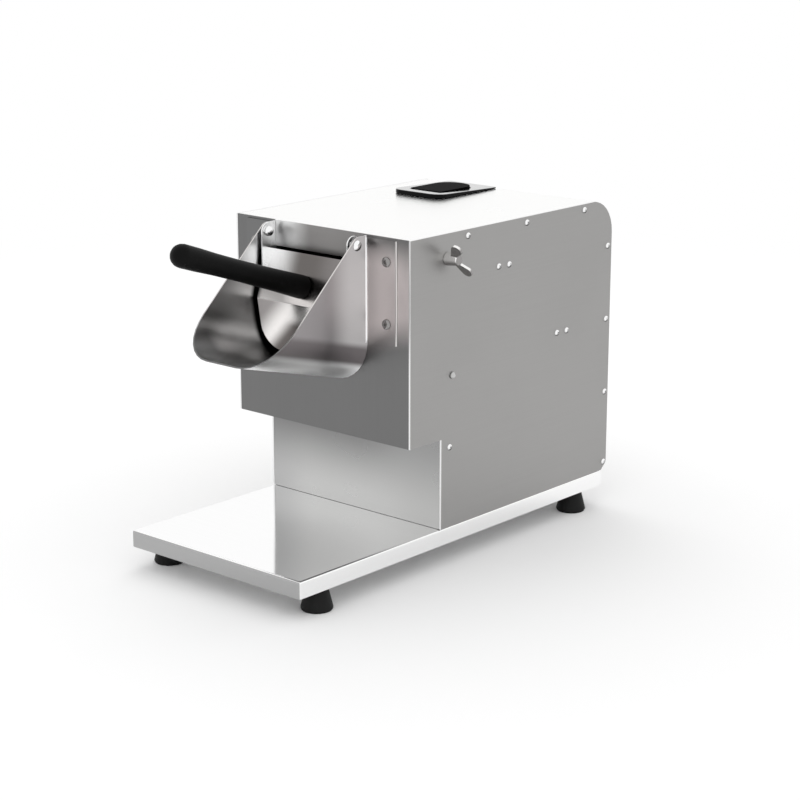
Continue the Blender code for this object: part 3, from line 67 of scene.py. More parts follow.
def put(tree, kind, inputs=None, out=0, **settings):
    # one node with its settings and links; an input is a number, a colour code or a socket
    # what comes back is one of its outputs, or the node itself where out is None
    node = tree.nodes.new("ShaderNode" + kind)
    for key, value in settings.items():
        setattr(node, key, value)
    for key, value in (inputs or {}).items():
        if isinstance(value, bpy.types.NodeSocket):
            tree.links.new(value, node.inputs[key])
        else:
            node.inputs[key].default_value = srgb(value) if isinstance(value, str) else value
    return node if out is None else node.outputs[out]


def newMaterial(name):
    material = bpy.data.materials.new(name)
    material.use_nodes = True
    tree = material.node_tree
    tree.nodes.clear()
    return material, tree, put(tree, "TexCoord", out="Object")


def finishMaterial(material, shader, inputs):
    tree = material.node_tree
    put(tree, "OutputMaterial", {"Surface": put(tree, shader, inputs)}, None)
    return material


def grainNoise(tree, place, lengths, detail=2.0, rough=0.5):
    # noise whose grain has these lengths in mm along x, y and z
    scale = [1.0 / (length * mm) for length in lengths]
    mapped = put(tree, "Mapping", {"Vector": place, "Scale": scale})
    return put(tree, "TexNoise", {
        "Vector": mapped, "Scale": 1.0, "Detail": detail, "Roughness": rough}, "Fac")


def planeMask(tree, place, normal, distance, thickness):
    # 1 within the thickness of a plane, 0 elsewhere
    reach = put(tree, "VectorMath", {0: place, 1: normal}, 1, operation="DOT_PRODUCT")
    return put(tree, "Math", {0: reach, 1: distance, 2: thickness}, operation="COMPARE")


def softMask(tree, *steps):
    # 1 where every value is past its end, soft from its start on; with no end the step is hard
    mask = None
    for value, start, *end in steps:
        if end:
            step = put(tree, "MapRange", {
                0: value, 1: start, 2: end[0]}, interpolation_type="SMOOTHSTEP")
        else:
            step = put(tree, "Math", {0: value, 1: start}, operation="GREATER_THAN")
        mask = step if mask is None else put(tree, "Math", {0: mask, 1: step}, operation="MULTIPLY")
    return mask


def paint(tree, tone, *layers):
    # lays each layer's colour over the tone, as far as its mask says
    for mask, colour in layers:
        tone = put(tree, "Mix", {0: mask, 6: tone, 7: colour}, 2, data_type="RGBA")
    return tone


def bulge(tree, value, start, steepness):
    # a height that grows with the square of the way past the start
    way = put(tree, "Math", {0: value, 1: start}, operation="SUBTRACT")
    way = put(tree, "Math", {0: way, 1: 0.0}, operation="MAXIMUM")
    square = put(tree, "Math", {0: way, 1: 2.0}, operation="POWER")
    return put(tree, "Math", {0: square, 1: steepness}, operation="MULTIPLY")


def litTone(tree, place, tone, look):
    # painted light: a small fitting gets a painted highlight where it faces the lamp and painted shade
    # where it faces the bench
    normal = put(tree, "NewGeometry", out="Normal")
    facing = put(tree, "VectorMath", {0: normal, 1: look["lamp"]}, 1, operation="DOT_PRODUCT")
    return paint(tree, look["shaded"], (softMask(tree, (facing, *look["turn"])), tone))


noiseLow, noiseHigh = 0.3, 0.7   # nearly all of a noise lies between these
sheetCloud, mouldedCloud = 90, 35   # mm over which a finish turns slightly lighter or darker
textureDepth = 0.05 * mm         # of the mould's spark-eroded texture


def steelMaterial(look, shade=None, form=None):
    # a metal whose grain shows in its colour, roughness and surface
    # shade gives its tone by place, and form is a height that bends what it reflects
    material, tree, place = newMaterial(look["name"])
    grain = grainNoise(tree, place, look["grain"], detail=3.0, rough=0.6)
    cloud = grainNoise(tree, place, [look.get("cloud", sheetCloud)] * 3)
    tone = paint(tree, look["dark"], (grain, look["light"]))
    low, high = look["rough"]
    surface = {"Height": grain, "Strength": look["bump"], "Distance": look["depth"] * mm}
    if form:
        surface["Normal"] = put(tree, "Bump", {
            "Height": form(tree, place, look), "Strength": 1.0, "Distance": 1.0})
    return finishMaterial(material, "BsdfPrincipled", {
        "Base Color": shade(tree, place, tone, look) if shade else tone,
        "Metallic": 1.0,
        "Roughness": put(tree, "MapRange", {0: cloud, 1: noiseLow, 2: noiseHigh, 3: low, 4: high}),
        "Normal": put(tree, "Bump", surface)})


def mouldedMaterial(look):
    # plastic or rubber out of a mould: an even colour with a fine texture
    # a mould's texture is about 0.1 to 0.2 mm wide, too fine to show, so it is drawn near 1 mm wide
    material, tree, place = newMaterial(look["name"])
    texture = grainNoise(tree, place, [look["texture"]] * 3)
    cloud = grainNoise(tree, place, [mouldedCloud] * 3)
    low, high = look["rough"]
    inputs = {
        "Base Color": paint(tree, look["dark"], (cloud, look["light"])),
        "Roughness": put(tree, "MapRange", {0: texture, 1: noiseLow, 2: noiseHigh, 3: low, 4: high}),
        "IOR": look["ior"],
        "Specular IOR Level": look.get("sheen", 0.5),
        "Normal": put(tree, "Bump", {
            "Height": texture, "Strength": look["bump"], "Distance": textureDepth}),
    }
    if "topSheen" in look:
        # only the faces that look up are polished, and the normal's rise tells them
        rise = put(tree, "SeparateXYZ", {0: put(tree, "TexCoord", out="Normal")}, 2)
        start, end = look["topTurn"]
        inputs["Coat Weight"] = put(tree, "MapRange", {0: rise, 1: start, 2: end})
        inputs["Specular IOR Level"] = put(tree, "MapRange", {
            0: rise, 1: start, 2: end, 3: look["sheen"], 4: look["topSheen"]})
    return finishMaterial(material, "BsdfPrincipled", inputs)


# what is welded in mm, and from how many degrees on corners and cuts are sharp
edgeLook = {"weld": 0.002, "flatBelow": 0.4, "sharpFrom": 35, "cutSharpFrom": 40, "steps": 2}


def softenEdges(obj, width):
    # the imported mesh has loose triangles: weld them, make flat faces whole, round the sharp edges
    obj.data.polygons.foreach_set("use_smooth", [True] * len(obj.data.polygons))
    bpy.context.view_layer.objects.active = obj
    if obj.data.has_custom_normals:
        bpy.ops.mesh.customdata_custom_splitnormals_clear()
    weld = obj.modifiers.new("weld", "WELD")
    weld.merge_threshold = edgeLook["weld"] * mm
    whole = obj.modifiers.new("wholeFaces", "DECIMATE")
    whole.decimate_type = "DISSOLVE"
    whole.angle_limit = math.radians(edgeLook["flatBelow"])
    bevel = obj.modifiers.new("roundEdges", "BEVEL")
    bevel.width = width * mm
    bevel.segments = edgeLook["steps"]
    bevel.limit_method = "ANGLE"
    bevel.angle_limit = math.radians(edgeLook["sharpFrom"])
    bevel.harden_normals = True
    bevel.use_clamp_overlap = True
    flat = obj.modifiers.new("flatFaces", "WEIGHTED_NORMAL")
    flat.mode = "FACE_AREA"
    flat.weight = 100
    flat.keep_sharp = True


def dress(look, material):
    # the CAD nodes that the look is on get the material, and edges rounded by so many mm
    for name in look["on"]:
        obj = nodes[name]
        obj.data.materials.clear()
        obj.data.materials.append(material)
        softenEdges(obj, look["edge"])


def smoothMesh(name, build):
    mesh = bpy.data.meshes.new(name)
    build.to_mesh(mesh)
    build.free()
    mesh.shade_smooth()
    mesh.set_sharp_from_angle(angle=math.radians(edgeLook["sharpFrom"]))
    return mesh


def showObject(name, data):
    obj = bpy.data.objects.new(name, data)
    bpy.context.scene.collection.objects.link(obj)
    return obj


# the camera stands where the photograph was taken
cameraLook = {
    "place": (1.4703, -1.6255, 0.7513),
    "forward": (-0.6357, 0.7266, -0.2606),
    "lens": 93.0, "sensor": 36, "farEnd": 60,   # mm, mm and metres
}
camera = showObject("photoCamera", bpy.data.cameras.new("photoCamera"))
camera.data.lens = cameraLook["lens"]
camera.data.sensor_width = cameraLook["sensor"]
camera.data.clip_end = cameraLook["farEnd"]
camera.location = cameraLook["place"]
camera.rotation_mode = "QUATERNION"
camera.rotation_quaternion = Vector(cameraLook["forward"]).to_track_quat("-Z", "Y")
bpy.context.scene.camera = camera
print("camera placed")


# base tray: thin stainless sheet, polished to a mirror
# it is white where it shows the room and holds a clear image of the column
baseLook = {
    "name": "stainlessMirrorPolished", "dark": "#fafafa", "light": "#fefefe",
    "grain": (260, 3, 3),   # real polishing lines are too fine to show, so these are 3 mm apart
    "cloud": 60, "rough": (0.05, 0.09), "bump": 0.03, "depth": 0.005,
    # painted shade for the faces that look forward by more than frontTurn
    "frontEdgeShade": "#adadad", "frontTurn": -0.7,   # the faces that look forward by more than this
    "bowLean": (0.0535, -0.0666, 0.0), "bowStart": 2, "bowLength": 26,   # slopes, mm and mm
    "on": ["base_plate"], "edge": 0.4,
}


def baseShade(tree, place, tone, look):
    # painted shade on the long front edge, which faces the dim side of the room, so it is darker than the
    # polished top
    towards = put(tree, "SeparateXYZ", {0: put(tree, "TexCoord", out="Normal")}, 1)
    front = put(tree, "Math", {0: towards, 1: look["frontTurn"]}, operation="LESS_THAN")
    return paint(tree, tone, (front, look["frontEdgeShade"]))


def baseBow(tree, place, look):
    # the thin sheet bows towards its front right corner, so the column's image stays even there
    lean = look["bowLean"]
    reach = put(tree, "VectorMath", {0: place, 1: lean}, 1, operation="DOT_PRODUCT")
    return bulge(tree, reach, look["bowStart"] * mm + lean[1] * headFront, 1 / (look["bowLength"] * mm))


dress(baseLook, steelMaterial(baseLook, baseShade, baseBow))
print("base tray done")


# side panels: satin-ground stainless sheet, an even soft grey whose laser-cut edges get a painted
# highlight
# satin lines lie about 0.1 mm apart, too fine to show, so all sheets have them near 1 mm apart
sideLook = {
    "name": "stainlessSatinSide", "dark": "#9d9c9b", "light": "#a3a2a1",
    "grain": (1.2, 240, 0.7), "rough": (0.36, 0.42), "bump": 0.05, "depth": 0.01,
    "cutEdgeHighlight": "#f2f2f2", "edgeHalf": 0.25, "columnEdgeHalf": 0.5,   # mm
    "on": ["side_panel_left", "side_panel_right"], "edge": 0.15,
}


def sideShade(tree, place, tone, look):
    # painted highlights on the cut edges, which lie in the planes of the head's front and of the top, and
    # beside the column
    half = look["edgeHalf"] * mm
    z = put(tree, "SeparateXYZ", {0: place}, 2)
    below = put(tree, "Math", {0: z, 1: headLow}, operation="LESS_THAN")
    column = planeMask(tree, place, (0, 1, 0), columnFront, look["columnEdgeHalf"] * mm)
    return paint(
        tree, tone,
        (put(tree, "Math", {0: column, 1: below}, operation="MULTIPLY"), look["cutEdgeHighlight"]),
        (planeMask(tree, place, (0, 1, 0), headFront, half), look["cutEdgeHighlight"]),
        (planeMask(tree, place, (0, 0, 1), bodyTop, half), look["cutEdgeHighlight"]))


dress(sideLook, steelMaterial(sideLook, sideShade))


# head's front: the same satin sheet, with painted shade, darker because it faces the dim side of the room
# beside the chute's right wall a painted warm glow stands in for a reflection
frontLook = {
    "name": "stainlessSatinPaintedShade", "dark": "#727272", "light": "#777777",
    "grain": (0.7, 240, 240), "rough": (0.34, 0.40), "bump": 0.05, "depth": 0.01,
    "glow": "#ece4e3",
    "glowAside": (45, 62),                                  # mm right of the middle
    "glowSlant": (-0.3, 0, 1), "glowFoot": (167.5, 209.5),  # mm over the tray, along a slant
    "glowTop": 7, "glowFull": ((101, -33), (120, -54)),     # mm aside, and mm from the top
    # the strip between the ears gets a painted reflection, dark on the right and bright on the left
    "stripDark": "#8e8c8b", "stripBright": "#ffffff", "stripTurn": (-12, -58),
    "stripFoot": (-36, -26), "stripRight": (64, 58), "stripLeft": -66,
    "on": ["front_panel"], "edge": 0.15,
}


def frontShade(tree, place, tone, look):
    # the painted glow fades below the chute, and the painted reflection on the strip between the ears is
    # brightest on the left
    x, y, z = put(tree, "SeparateXYZ", {0: place}, None).outputs
    slanted = put(tree, "VectorMath", {0: place, 1: look["glowSlant"]}, 1, operation="DOT_PRODUCT")
    (nearAside, nearFull), (farAside, farFull) = look["glowFull"]
    full = put(tree, "MapRange", {
        0: x, 1: nearAside * mm, 2: farAside * mm,
        3: bodyTop + nearFull * mm, 4: bodyTop + farFull * mm})
    glow = softMask(
        tree, (slanted, *span(baseTop, look["glowFoot"])), (z, bodyTop + look["glowTop"] * mm, full),
        (x, *span(0, look["glowAside"])))
    strip = softMask(
        tree, (z, *span(bodyTop, look["stripFoot"])), (x, *span(0, look["stripRight"])),
        (x, look["stripLeft"] * mm))
    stripTone = paint(
        tree, look["stripDark"],
        (softMask(tree, (x, *span(0, look["stripTurn"]))), look["stripBright"]))
    return paint(tree, tone, (glow, look["glow"]), (strip, stripTone))


dress(frontLook, steelMaterial(frontLook, frontShade))

# head's floor: satin sheet that mostly sees the bright tray under it
floorLook = {
    "name": "stainlessSatinFloor", "dark": "#a4a4a3", "light": "#aaaaa9",
    "grain": (0.7, 240, 240), "rough": (0.34, 0.40), "bump": 0.05, "depth": 0.01,
    "on": ["head_floor"], "edge": 0.15,
}
dress(floorLook, steelMaterial(floorLook))

# column's front: smoother sheet, with a pale tone painted in where the tray lights it from below
columnLook = {
    "name": "stainlessSatinColumn", "dark": "#c7c7c6", "light": "#cccccb",
    "grain": (240, 240, 0.7), "rough": (0.26, 0.32), "bump": 0.04, "depth": 0.01,
    "right": "#bebebd", "rightTurn": (20, 120), "left": "#bababa", "leftTurn": (-60, -125),   # mm aside
    "shadeLeft": "#7c7c7c", "shadeRight": "#9a9a9a", "shadeTurn": (0, 90),                    # mm aside
    "shadeEnd": 10,   # mm over the tray
    "on": ["column_front_panel"], "edge": 0.05,
}


def columnShade(tree, place, tone, look):
    # painted shade stands in for the head's soft shadow over the column's top, deepest on the left; the
    # lit part is painted a little darker towards both sides
    x, y, z = put(tree, "SeparateXYZ", {0: place}, None).outputs
    lit = paint(
        tree, tone,
        (softMask(tree, (x, *span(0, look["rightTurn"]))), look["right"]),
        (softMask(tree, (x, *span(0, look["leftTurn"]))), look["left"]))
    shade = paint(
        tree, look["shadeLeft"], (softMask(tree, (x, *span(0, look["shadeTurn"]))), look["shadeRight"]))
    return paint(tree, shade, (softMask(tree, (z, headLow, baseTop + look["shadeEnd"] * mm)), lit))


dress(columnLook, steelMaterial(columnLook, columnShade))

# top cover: bright annealed sheet, so level that it reads as plain white under the lamps
topLook = {
    "name": "stainlessBrightTop", "dark": "#fafaf9", "light": "#fefefd",
    "grain": (240, 0.8, 0.8), "rough": (0.22, 0.28), "bump": 0.04, "depth": 0.01,
    "on": ["top_cover"], "edge": 0.2,
}
dress(topLook, steelMaterial(topLook))

# rear cover: satin sheet like the side panels
rearLook = {
    "name": "stainlessSatinRear", "dark": "#a3a2a0", "light": "#a9a8a6",
    "grain": (240, 240, 0.7), "rough": (0.36, 0.42), "bump": 0.05, "depth": 0.01,
    "on": ["rear_cover"], "edge": 0.2,
}
dress(rearLook, steelMaterial(rearLook))
print("housing panels done")


# feed chute: brushed stainless, with a painted shine that runs from pale to dark round its bends
# brushed lines are about 0.1 to 0.3 mm apart, too fine to show, so they are drawn 1 mm apart
chuteLow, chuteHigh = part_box("feed_chute")
chuteLook = {
    # the brushed lines run from dark to light, and they are laid over the painted tones below
    "name": "stainlessBrushedChute", "dark": "#fbfbfb", "light": "#ffffff",
    "grain": (1.0, 60, 1.0), "cloud": 40, "rough": (0.30, 0.34), "bump": 0.05, "depth": 0.01,
    # outer walls: painted reflection, pale near the head by mm from the head's front, then painted shade
    # and a painted white reflection by how far the face looks down
    "outFar": "#9a9697", "outNear": "#c4c1c1", "outTurn": (-66, -24),
    "band": "#787374", "bandTurn": (-0.05, -0.22), "under": "#ffffff", "underTurn": (-0.50, -0.68),
    # inner walls: painted reflection, pale near the head by mm from the head's front, and painted shade
    # on the lower part away from the head and on the floor, by mm over the tray
    "inFar": "#c9c9c9", "inNear": "#fefefe", "inTurn": (-84, -40), "lowerTurn": (232, 212),
    "lowFar": "#757575", "lowNear": "#fefefe", "lowTurn": (-112, -78),
    "floor": "#979797", "floorTurn": (202, 188),
    # painted shade in the gap beside the pusher: its edge leans forward up to the bend and back above it
    "gap": "#1c1b1b", "gapRises": (180, 241, 300), "gapEdges": (-23, -33), "gapBack": 15,
    # high up it ends before the head
    "gapTurn": (-9.5, -2), "gapEnd": (-12, -17), "gapEndFoot": (262, 250),
    # painted highlights on the cut edges of the slanted mouth and of the flanges, and on the outside of
    # the flanges' folds
    "mouth": "#dddad8", "mouthAngle": 42.7, "lipRise": 98.4, "mouthTurn": (215, 250), "mouthHalf": 0.2,
    "cutEdgeHighlight": "#e6e4e2", "cutWidth": 1.4, "flangeDepth": 2.4, "flangeAside": 67.4,
    "fold": "#ffffff", "foldPlace": 2.8, "foldHalf": 0.75, "foldFoot": 206,
    # the trough's middle over the tray, at its lip and at the head, and what counts as inside
    "axisRises": (243, 205), "insideFrom": -2,
    "turnFrom": -55, "turnRate": 4.15,   # the walls turn outwards from this many mm on, in 1/m
    "on": ["feed_chute"], "edge": 0.2,
}


def insideChute(tree, place, look):
    # 1 on the faces that look towards the middle of the trough
    x, y, z = put(tree, "SeparateXYZ", {0: place}, None).outputs
    lipRise, headRise = span(baseTop, look["axisRises"])
    axis = put(tree, "MapRange", {0: y, 1: chuteLow.y, 2: headFront, 3: lipRise, 4: headRise})
    above = put(tree, "Math", {0: z, 1: axis}, operation="SUBTRACT")
    outwards = put(tree, "CombineXYZ", {0: x, 2: above})
    normal = put(tree, "TexCoord", out="Normal")
    facing = put(tree, "VectorMath", {0: outwards, 1: normal}, 1, operation="DOT_PRODUCT")
    return put(tree, "Math", {0: facing, 1: look["insideFrom"] * mm}, operation="LESS_THAN")


def gapMask(tree, place, look):
    # painted shade: little light reaches the gap beside the pusher's tongue and cheek
    x, y, z = put(tree, "SeparateXYZ", {0: place}, None).outputs
    foot, bend, top = span(baseTop, look["gapRises"])
    footEdge, bendEdge = span(headFront, look["gapEdges"])
    lowEdge = put(tree, "MapRange", {0: z, 1: foot, 2: bend, 3: footEdge, 4: bendEdge})
    highEdge = put(tree, "MapRange", {0: z, 1: bend, 2: top, 3: 0.0, 4: look["gapBack"] * mm})
    edge = put(tree, "Math", {0: lowEdge, 1: highEdge}, operation="ADD")
    behind = put(tree, "Math", {0: y, 1: edge}, operation="SUBTRACT")
    shown = put(tree, "Math", {
        0: softMask(tree, (y, *span(headFront, look["gapEnd"]))),
        1: softMask(tree, (z, *span(baseTop, look["gapEndFoot"])))}, operation="MAXIMUM")
    return put(tree, "Math", {
        0: shown, 1: softMask(tree, (behind, *span(0, look["gapTurn"])))}, operation="MULTIPLY")


def mouthMask(tree, place, look):
    # where the painted highlight goes: the cut edge of the slanted mouth, above the bends
    angle = math.radians(look["mouthAngle"])
    normal = (0.0, -math.sin(angle), math.cos(angle))
    distance = normal[1] * chuteLow.y + normal[2] * (headLow + look["lipRise"] * mm)
    z = put(tree, "SeparateXYZ", {0: place}, 2)
    return put(tree, "Math", {
        0: planeMask(tree, place, normal, distance, look["mouthHalf"] * mm),
        1: softMask(tree, (z, *span(baseTop, look["mouthTurn"])))}, operation="MULTIPLY")


def chuteShade(tree, place, tone, look):
    # painted reflection and shade: lighter near the head, darker away from it and round the bends; the
    # flanges match the sheet behind them, painted glow included
    x, y, z = put(tree, "SeparateXYZ", {0: place}, None).outputs
    aside = put(tree, "Math", {0: x}, operation="ABSOLUTE")
    rise = put(tree, "SeparateXYZ", {0: put(tree, "TexCoord", out="Normal")}, 2)
    outer = paint(
        tree, look["outFar"],
        (softMask(tree, (y, *span(headFront, look["outTurn"]))), look["outNear"]),
        (softMask(tree, (rise, *look["bandTurn"])), look["band"]),
        (softMask(tree, (rise, *look["underTurn"])), look["under"]))
    lower = paint(
        tree, look["lowFar"],
        (softMask(tree, (y, *span(headFront, look["lowTurn"]))), look["lowNear"]),
        (softMask(tree, (z, *span(baseTop, look["floorTurn"]))), look["floor"]))
    inner = paint(
        tree, look["inFar"],
        (softMask(tree, (y, *span(headFront, look["inTurn"]))), look["inNear"]),
        (softMask(tree, (z, *span(baseTop, look["lowerTurn"]))), lower),
        (gapMask(tree, place, look), look["gap"]))
    flange = paint(
        tree, frontShade(tree, place, frontLook["light"], frontLook),
        (softMask(tree, (x, chuteHigh.x - look["cutWidth"] * mm)), look["cutEdgeHighlight"]))
    onFlange = softMask(
        tree, (y, headFront - look["flangeDepth"] * mm), (aside, look["flangeAside"] * mm))
    onFold = put(tree, "Math", {
        0: planeMask(tree, place, (0, 1, 0), headFront - look["foldPlace"] * mm, look["foldHalf"] * mm),
        1: softMask(tree, (z, baseTop + look["foldFoot"] * mm))}, operation="MULTIPLY")
    sheet = paint(
        tree, outer,
        (insideChute(tree, place, look), inner), (mouthMask(tree, place, look), look["mouth"]),
        (onFlange, flange), (onFold, look["fold"]))
    return put(tree, "Mix", {0: 1.0, 6: sheet, 7: tone}, 2, data_type="RGBA", blend_type="MULTIPLY")


def chuteTurn(tree, place, look):
    # the walls turn outwards before they meet the head, so they shine towards the room
    y = put(tree, "SeparateXYZ", {0: place}, 1)
    turned = bulge(tree, y, headFront + look["turnFrom"] * mm, look["turnRate"])
    outside = put(tree, "Math", {0: 1.0, 1: insideChute(tree, place, look)}, operation="SUBTRACT")
    return put(tree, "Math", {0: turned, 1: outside}, operation="MULTIPLY")


dress(chuteLook, steelMaterial(chuteLook, chuteShade, chuteTurn))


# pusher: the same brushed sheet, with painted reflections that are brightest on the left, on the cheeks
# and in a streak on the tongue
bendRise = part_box("pusher_plate")[0].z + 56 * mm   # here the plate bends into its tongue
pusherLook = {
    # the brushed lines run from dark to light, and they are laid over the painted tones below
    "name": "stainlessBrushedPusher", "dark": "#fbfbfb", "light": "#ffffff",
    "grain": (60, 1.0, 1.0), "cloud": 40, "rough": (0.22, 0.26), "bump": 0.05, "depth": 0.01,
    # the plate's painted reflection by mm aside, dark in the middle, with its cheeks, and the fold by mm
    # over the bend
    "middle": "#6e6a68", "left": "#fefefe", "leftTurn": (-10, -52),
    "right": "#858180", "rightTurn": (5, 40),
    "foldLeft": "#e6e3e1", "foldRight": "#dcd7d5", "foldAside": (-50, 10), "foldTurn": (20, 11),
    "cheekTurn": (57, 60), "bendTurn": (1.5, -1.5),
    # the tongue's painted reflection by mm from the middle of a slanted streak, with painted shade low on
    # its right
    "streak": (0.67, 0, -0.74), "streakPlace": -179.7,
    "tongueLeft": "#9b9796", "tongue": "#f8f5f3", "tongueTurn": (-26, -2),
    "tongueRightShade": "#6c6765", "tongueShadeTurn": (-3, 14), "tongueShadeFoot": (-11, -26),
    "dish": 0.92, "lean": 0.52, "leanFrom": -25,   # slopes of the tongue upwards and to the left
    "on": ["pusher_plate"], "edge": 0.2,
}


def pusherShade(tree, place, tone, look):
    # painted reflections, brightest on the left, on the cheeks and in the slanted streak over the tongue,
    # with painted shade low on the tongue's right
    x, y, z = put(tree, "SeparateXYZ", {0: place}, None).outputs
    fold = paint(
        tree, look["foldLeft"], (softMask(tree, (x, *span(0, look["foldAside"]))), look["foldRight"]))
    plate = paint(
        tree, look["middle"],
        (softMask(tree, (x, *span(0, look["leftTurn"]))), look["left"]),
        (softMask(tree, (x, *span(0, look["rightTurn"]))), look["right"]),
        (softMask(tree, (z, *span(bendRise, look["foldTurn"]))), fold),
        (softMask(tree, (x, *span(0, look["cheekTurn"]))), look["left"]))
    streak = look["streakPlace"] * mm + look["streak"][2] * baseTop
    reach = put(tree, "VectorMath", {0: place, 1: look["streak"]}, 1, operation="DOT_PRODUCT")
    tongueShade = softMask(
        tree, (reach, *span(streak, look["tongueShadeTurn"])), (z, *span(bendRise, look["tongueShadeFoot"])))
    tongue = paint(
        tree, look["tongueLeft"],
        (softMask(tree, (reach, *span(streak, look["tongueTurn"]))), look["tongue"]),
        (tongueShade, look["tongueRightShade"]))
    both = paint(tree, plate, (softMask(tree, (z, *span(bendRise, look["bendTurn"]))), tongue))
    return put(tree, "Mix", {0: 1.0, 6: both, 7: tone}, 2, data_type="RGBA", blend_type="MULTIPLY")


def tongueDish(tree, place, look):
    # the tongue is dished and leans to one side, so that it shines towards the room
    x, y, z = put(tree, "SeparateXYZ", {0: place}, None).outputs
    below = put(tree, "Math", {0: z, 1: bendRise}, operation="MINIMUM")
    fall = put(tree, "Math", {0: below, 1: -look["dish"]}, operation="MULTIPLY")
    aside = put(tree, "Math", {0: x, 1: look["leanFrom"] * mm}, operation="SUBTRACT")
    lean = put(tree, "Math", {0: aside, 1: -look["lean"]}, operation="MULTIPLY")
    onTongue = put(tree, "Math", {0: z, 1: bendRise}, operation="LESS_THAN")
    return put(tree, "Math", {0: lean, 1: onTongue, 2: fall}, operation="MULTIPLY_ADD")


dress(pusherLook, steelMaterial(pusherLook, pusherShade, tongueDish))
print("chute and pusher done")


# turned steel: a bright soft shine
# tool marks about 0.1 mm apart are too fine to show, so they are drawn 0.5 mm wide, here and on the heads
turnedLook = {
    "name": "steelTurnedBright", "dark": "#b4b4b3", "light": "#cccccb",
    "grain": (0.5, 0.5, 0.5), "rough": (0.12, 0.18), "bump": 0.05, "depth": 0.01,
    "on": [
        "cassette_screw_left", "cassette_screw_right", "drum_shaft", "bearing_left", "bearing_right"],
    "edge": 0.2,
}
dress(turnedLook, steelMaterial(turnedLook))

# polished stainless heads: a painted white glint on top, painted shade nearly black underneath
headLook = {
    "name": "steelPolishedHead", "dark": "#f4f4f4", "light": "#fefefe",
    "grain": (0.5, 0.5, 0.5), "rough": (0.12, 0.18), "bump": 0.05, "depth": 0.01,
    "lamp": (0.0, -0.6, 0.8), "turn": (-0.3, 0.1), "shaded": "#3a3938",
    "on": ["pivot_pin_left", "pivot_pin_right"], "edge": 0.2,
}
headSteel = steelMaterial(headLook, litTone)
dress(headLook, headSteel)

# cold-headed steel of the chute's screws: a dull mid grey
boltLook = {
    "name": "steelDullBolt", "dark": "#8b8988", "light": "#9d9b9a",
    "grain": (0.5, 0.5, 0.5), "rough": (0.10, 0.16), "bump": 0.05, "depth": 0.01,
}
boltSteel = steelMaterial(boltLook)

# die-cast zinc, tumbled and nickel plated: bright with soft waves left by the die, with a painted
# highlight towards the lamp and painted shade away from it
wingLook = {
    "name": "zincDieCastBright", "dark": "#f2f1ef", "light": "#fefdfc",
    "grain": (1.5, 1.5, 1.5), "rough": (0.16, 0.28), "bump": 0.12, "depth": 0.03,
    "lamp": (-0.2, -0.5, 0.85), "turn": (-0.1, 0.6), "shaded": "#979594",
    "on": ["wing_bolt_left", "wing_bolt_right"], "edge": 0.5,
}
dress(wingLook, steelMaterial(wingLook, litTone))

# zinc-plated steel: cool grey with faint spangles about 4 mm wide
zincLook = {
    "name": "steelZincPlated", "dark": "#a9acae", "light": "#bcbfc0",
    "grain": (4, 4, 4), "rough": (0.36, 0.48), "bump": 0.06, "depth": 0.02,
    "on": [
        "handle_stud", "handle_nut", "upper_spacer_left", "upper_spacer_right", "lower_spacer_left",
        "lower_spacer_right", "motor_rotor", "motor_shelf", "component_tray", "foot_screw_front_left",
        "foot_screw_front_right", "foot_screw_rear_left", "foot_screw_rear_right"],
    "edge": 0.2,
}
dress(zincLook, steelMaterial(zincLook))

# cast aluminium, machined: pale and slightly rough
# milling marks about 0.2 mm apart are too fine to show, so they are drawn 1 mm wide
castLook = {
    "name": "aluminiumCastMachined", "dark": "#b9bbbd", "light": "#cccdce",
    "grain": (1.0, 1.0, 1.0), "rough": (0.34, 0.46), "bump": 0.15, "depth": 0.03,
    "on": [
        "drum_disc_left", "drum_disc_right", "drum_pulley", "motor_pulley", "bearing_plate_left",
        "bearing_plate_right", "motor_bell_left", "motor_bell_right"],
    "edge": 0.3,
}
dress(castLook, steelMaterial(castLook))

# mill-finish stainless: an even grey, whose fine rolling lines are drawn 1 mm apart so that they show
shroudLook = {
    "name": "stainlessMillFinish", "dark": "#b2b2b1", "light": "#c0c0bf",
    "grain": (120, 1.0, 1.0), "rough": (0.26, 0.34), "bump": 0.05, "depth": 0.01,
    "on": ["drum_shroud"], "edge": 0.2,
}
dress(shroudLook, steelMaterial(shroudLook))
print("fittings done")


# grater drum: punched stainless, rows of raised teeth that glint round a tube
drumLow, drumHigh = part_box("grater_drum")
drumLook = {
    "name": "stainlessPunchedDrum", "dark": "#8f8f8f", "light": "#c8c8c7", "rough": 0.3,
    "pitch": 6.5, "toothHeight": 1.2,      # mm
    "toothTop": 0.12, "toothFoot": 0.34,   # shares of the pitch
    "on": ["grater_drum"], "edge": 0.3,
}


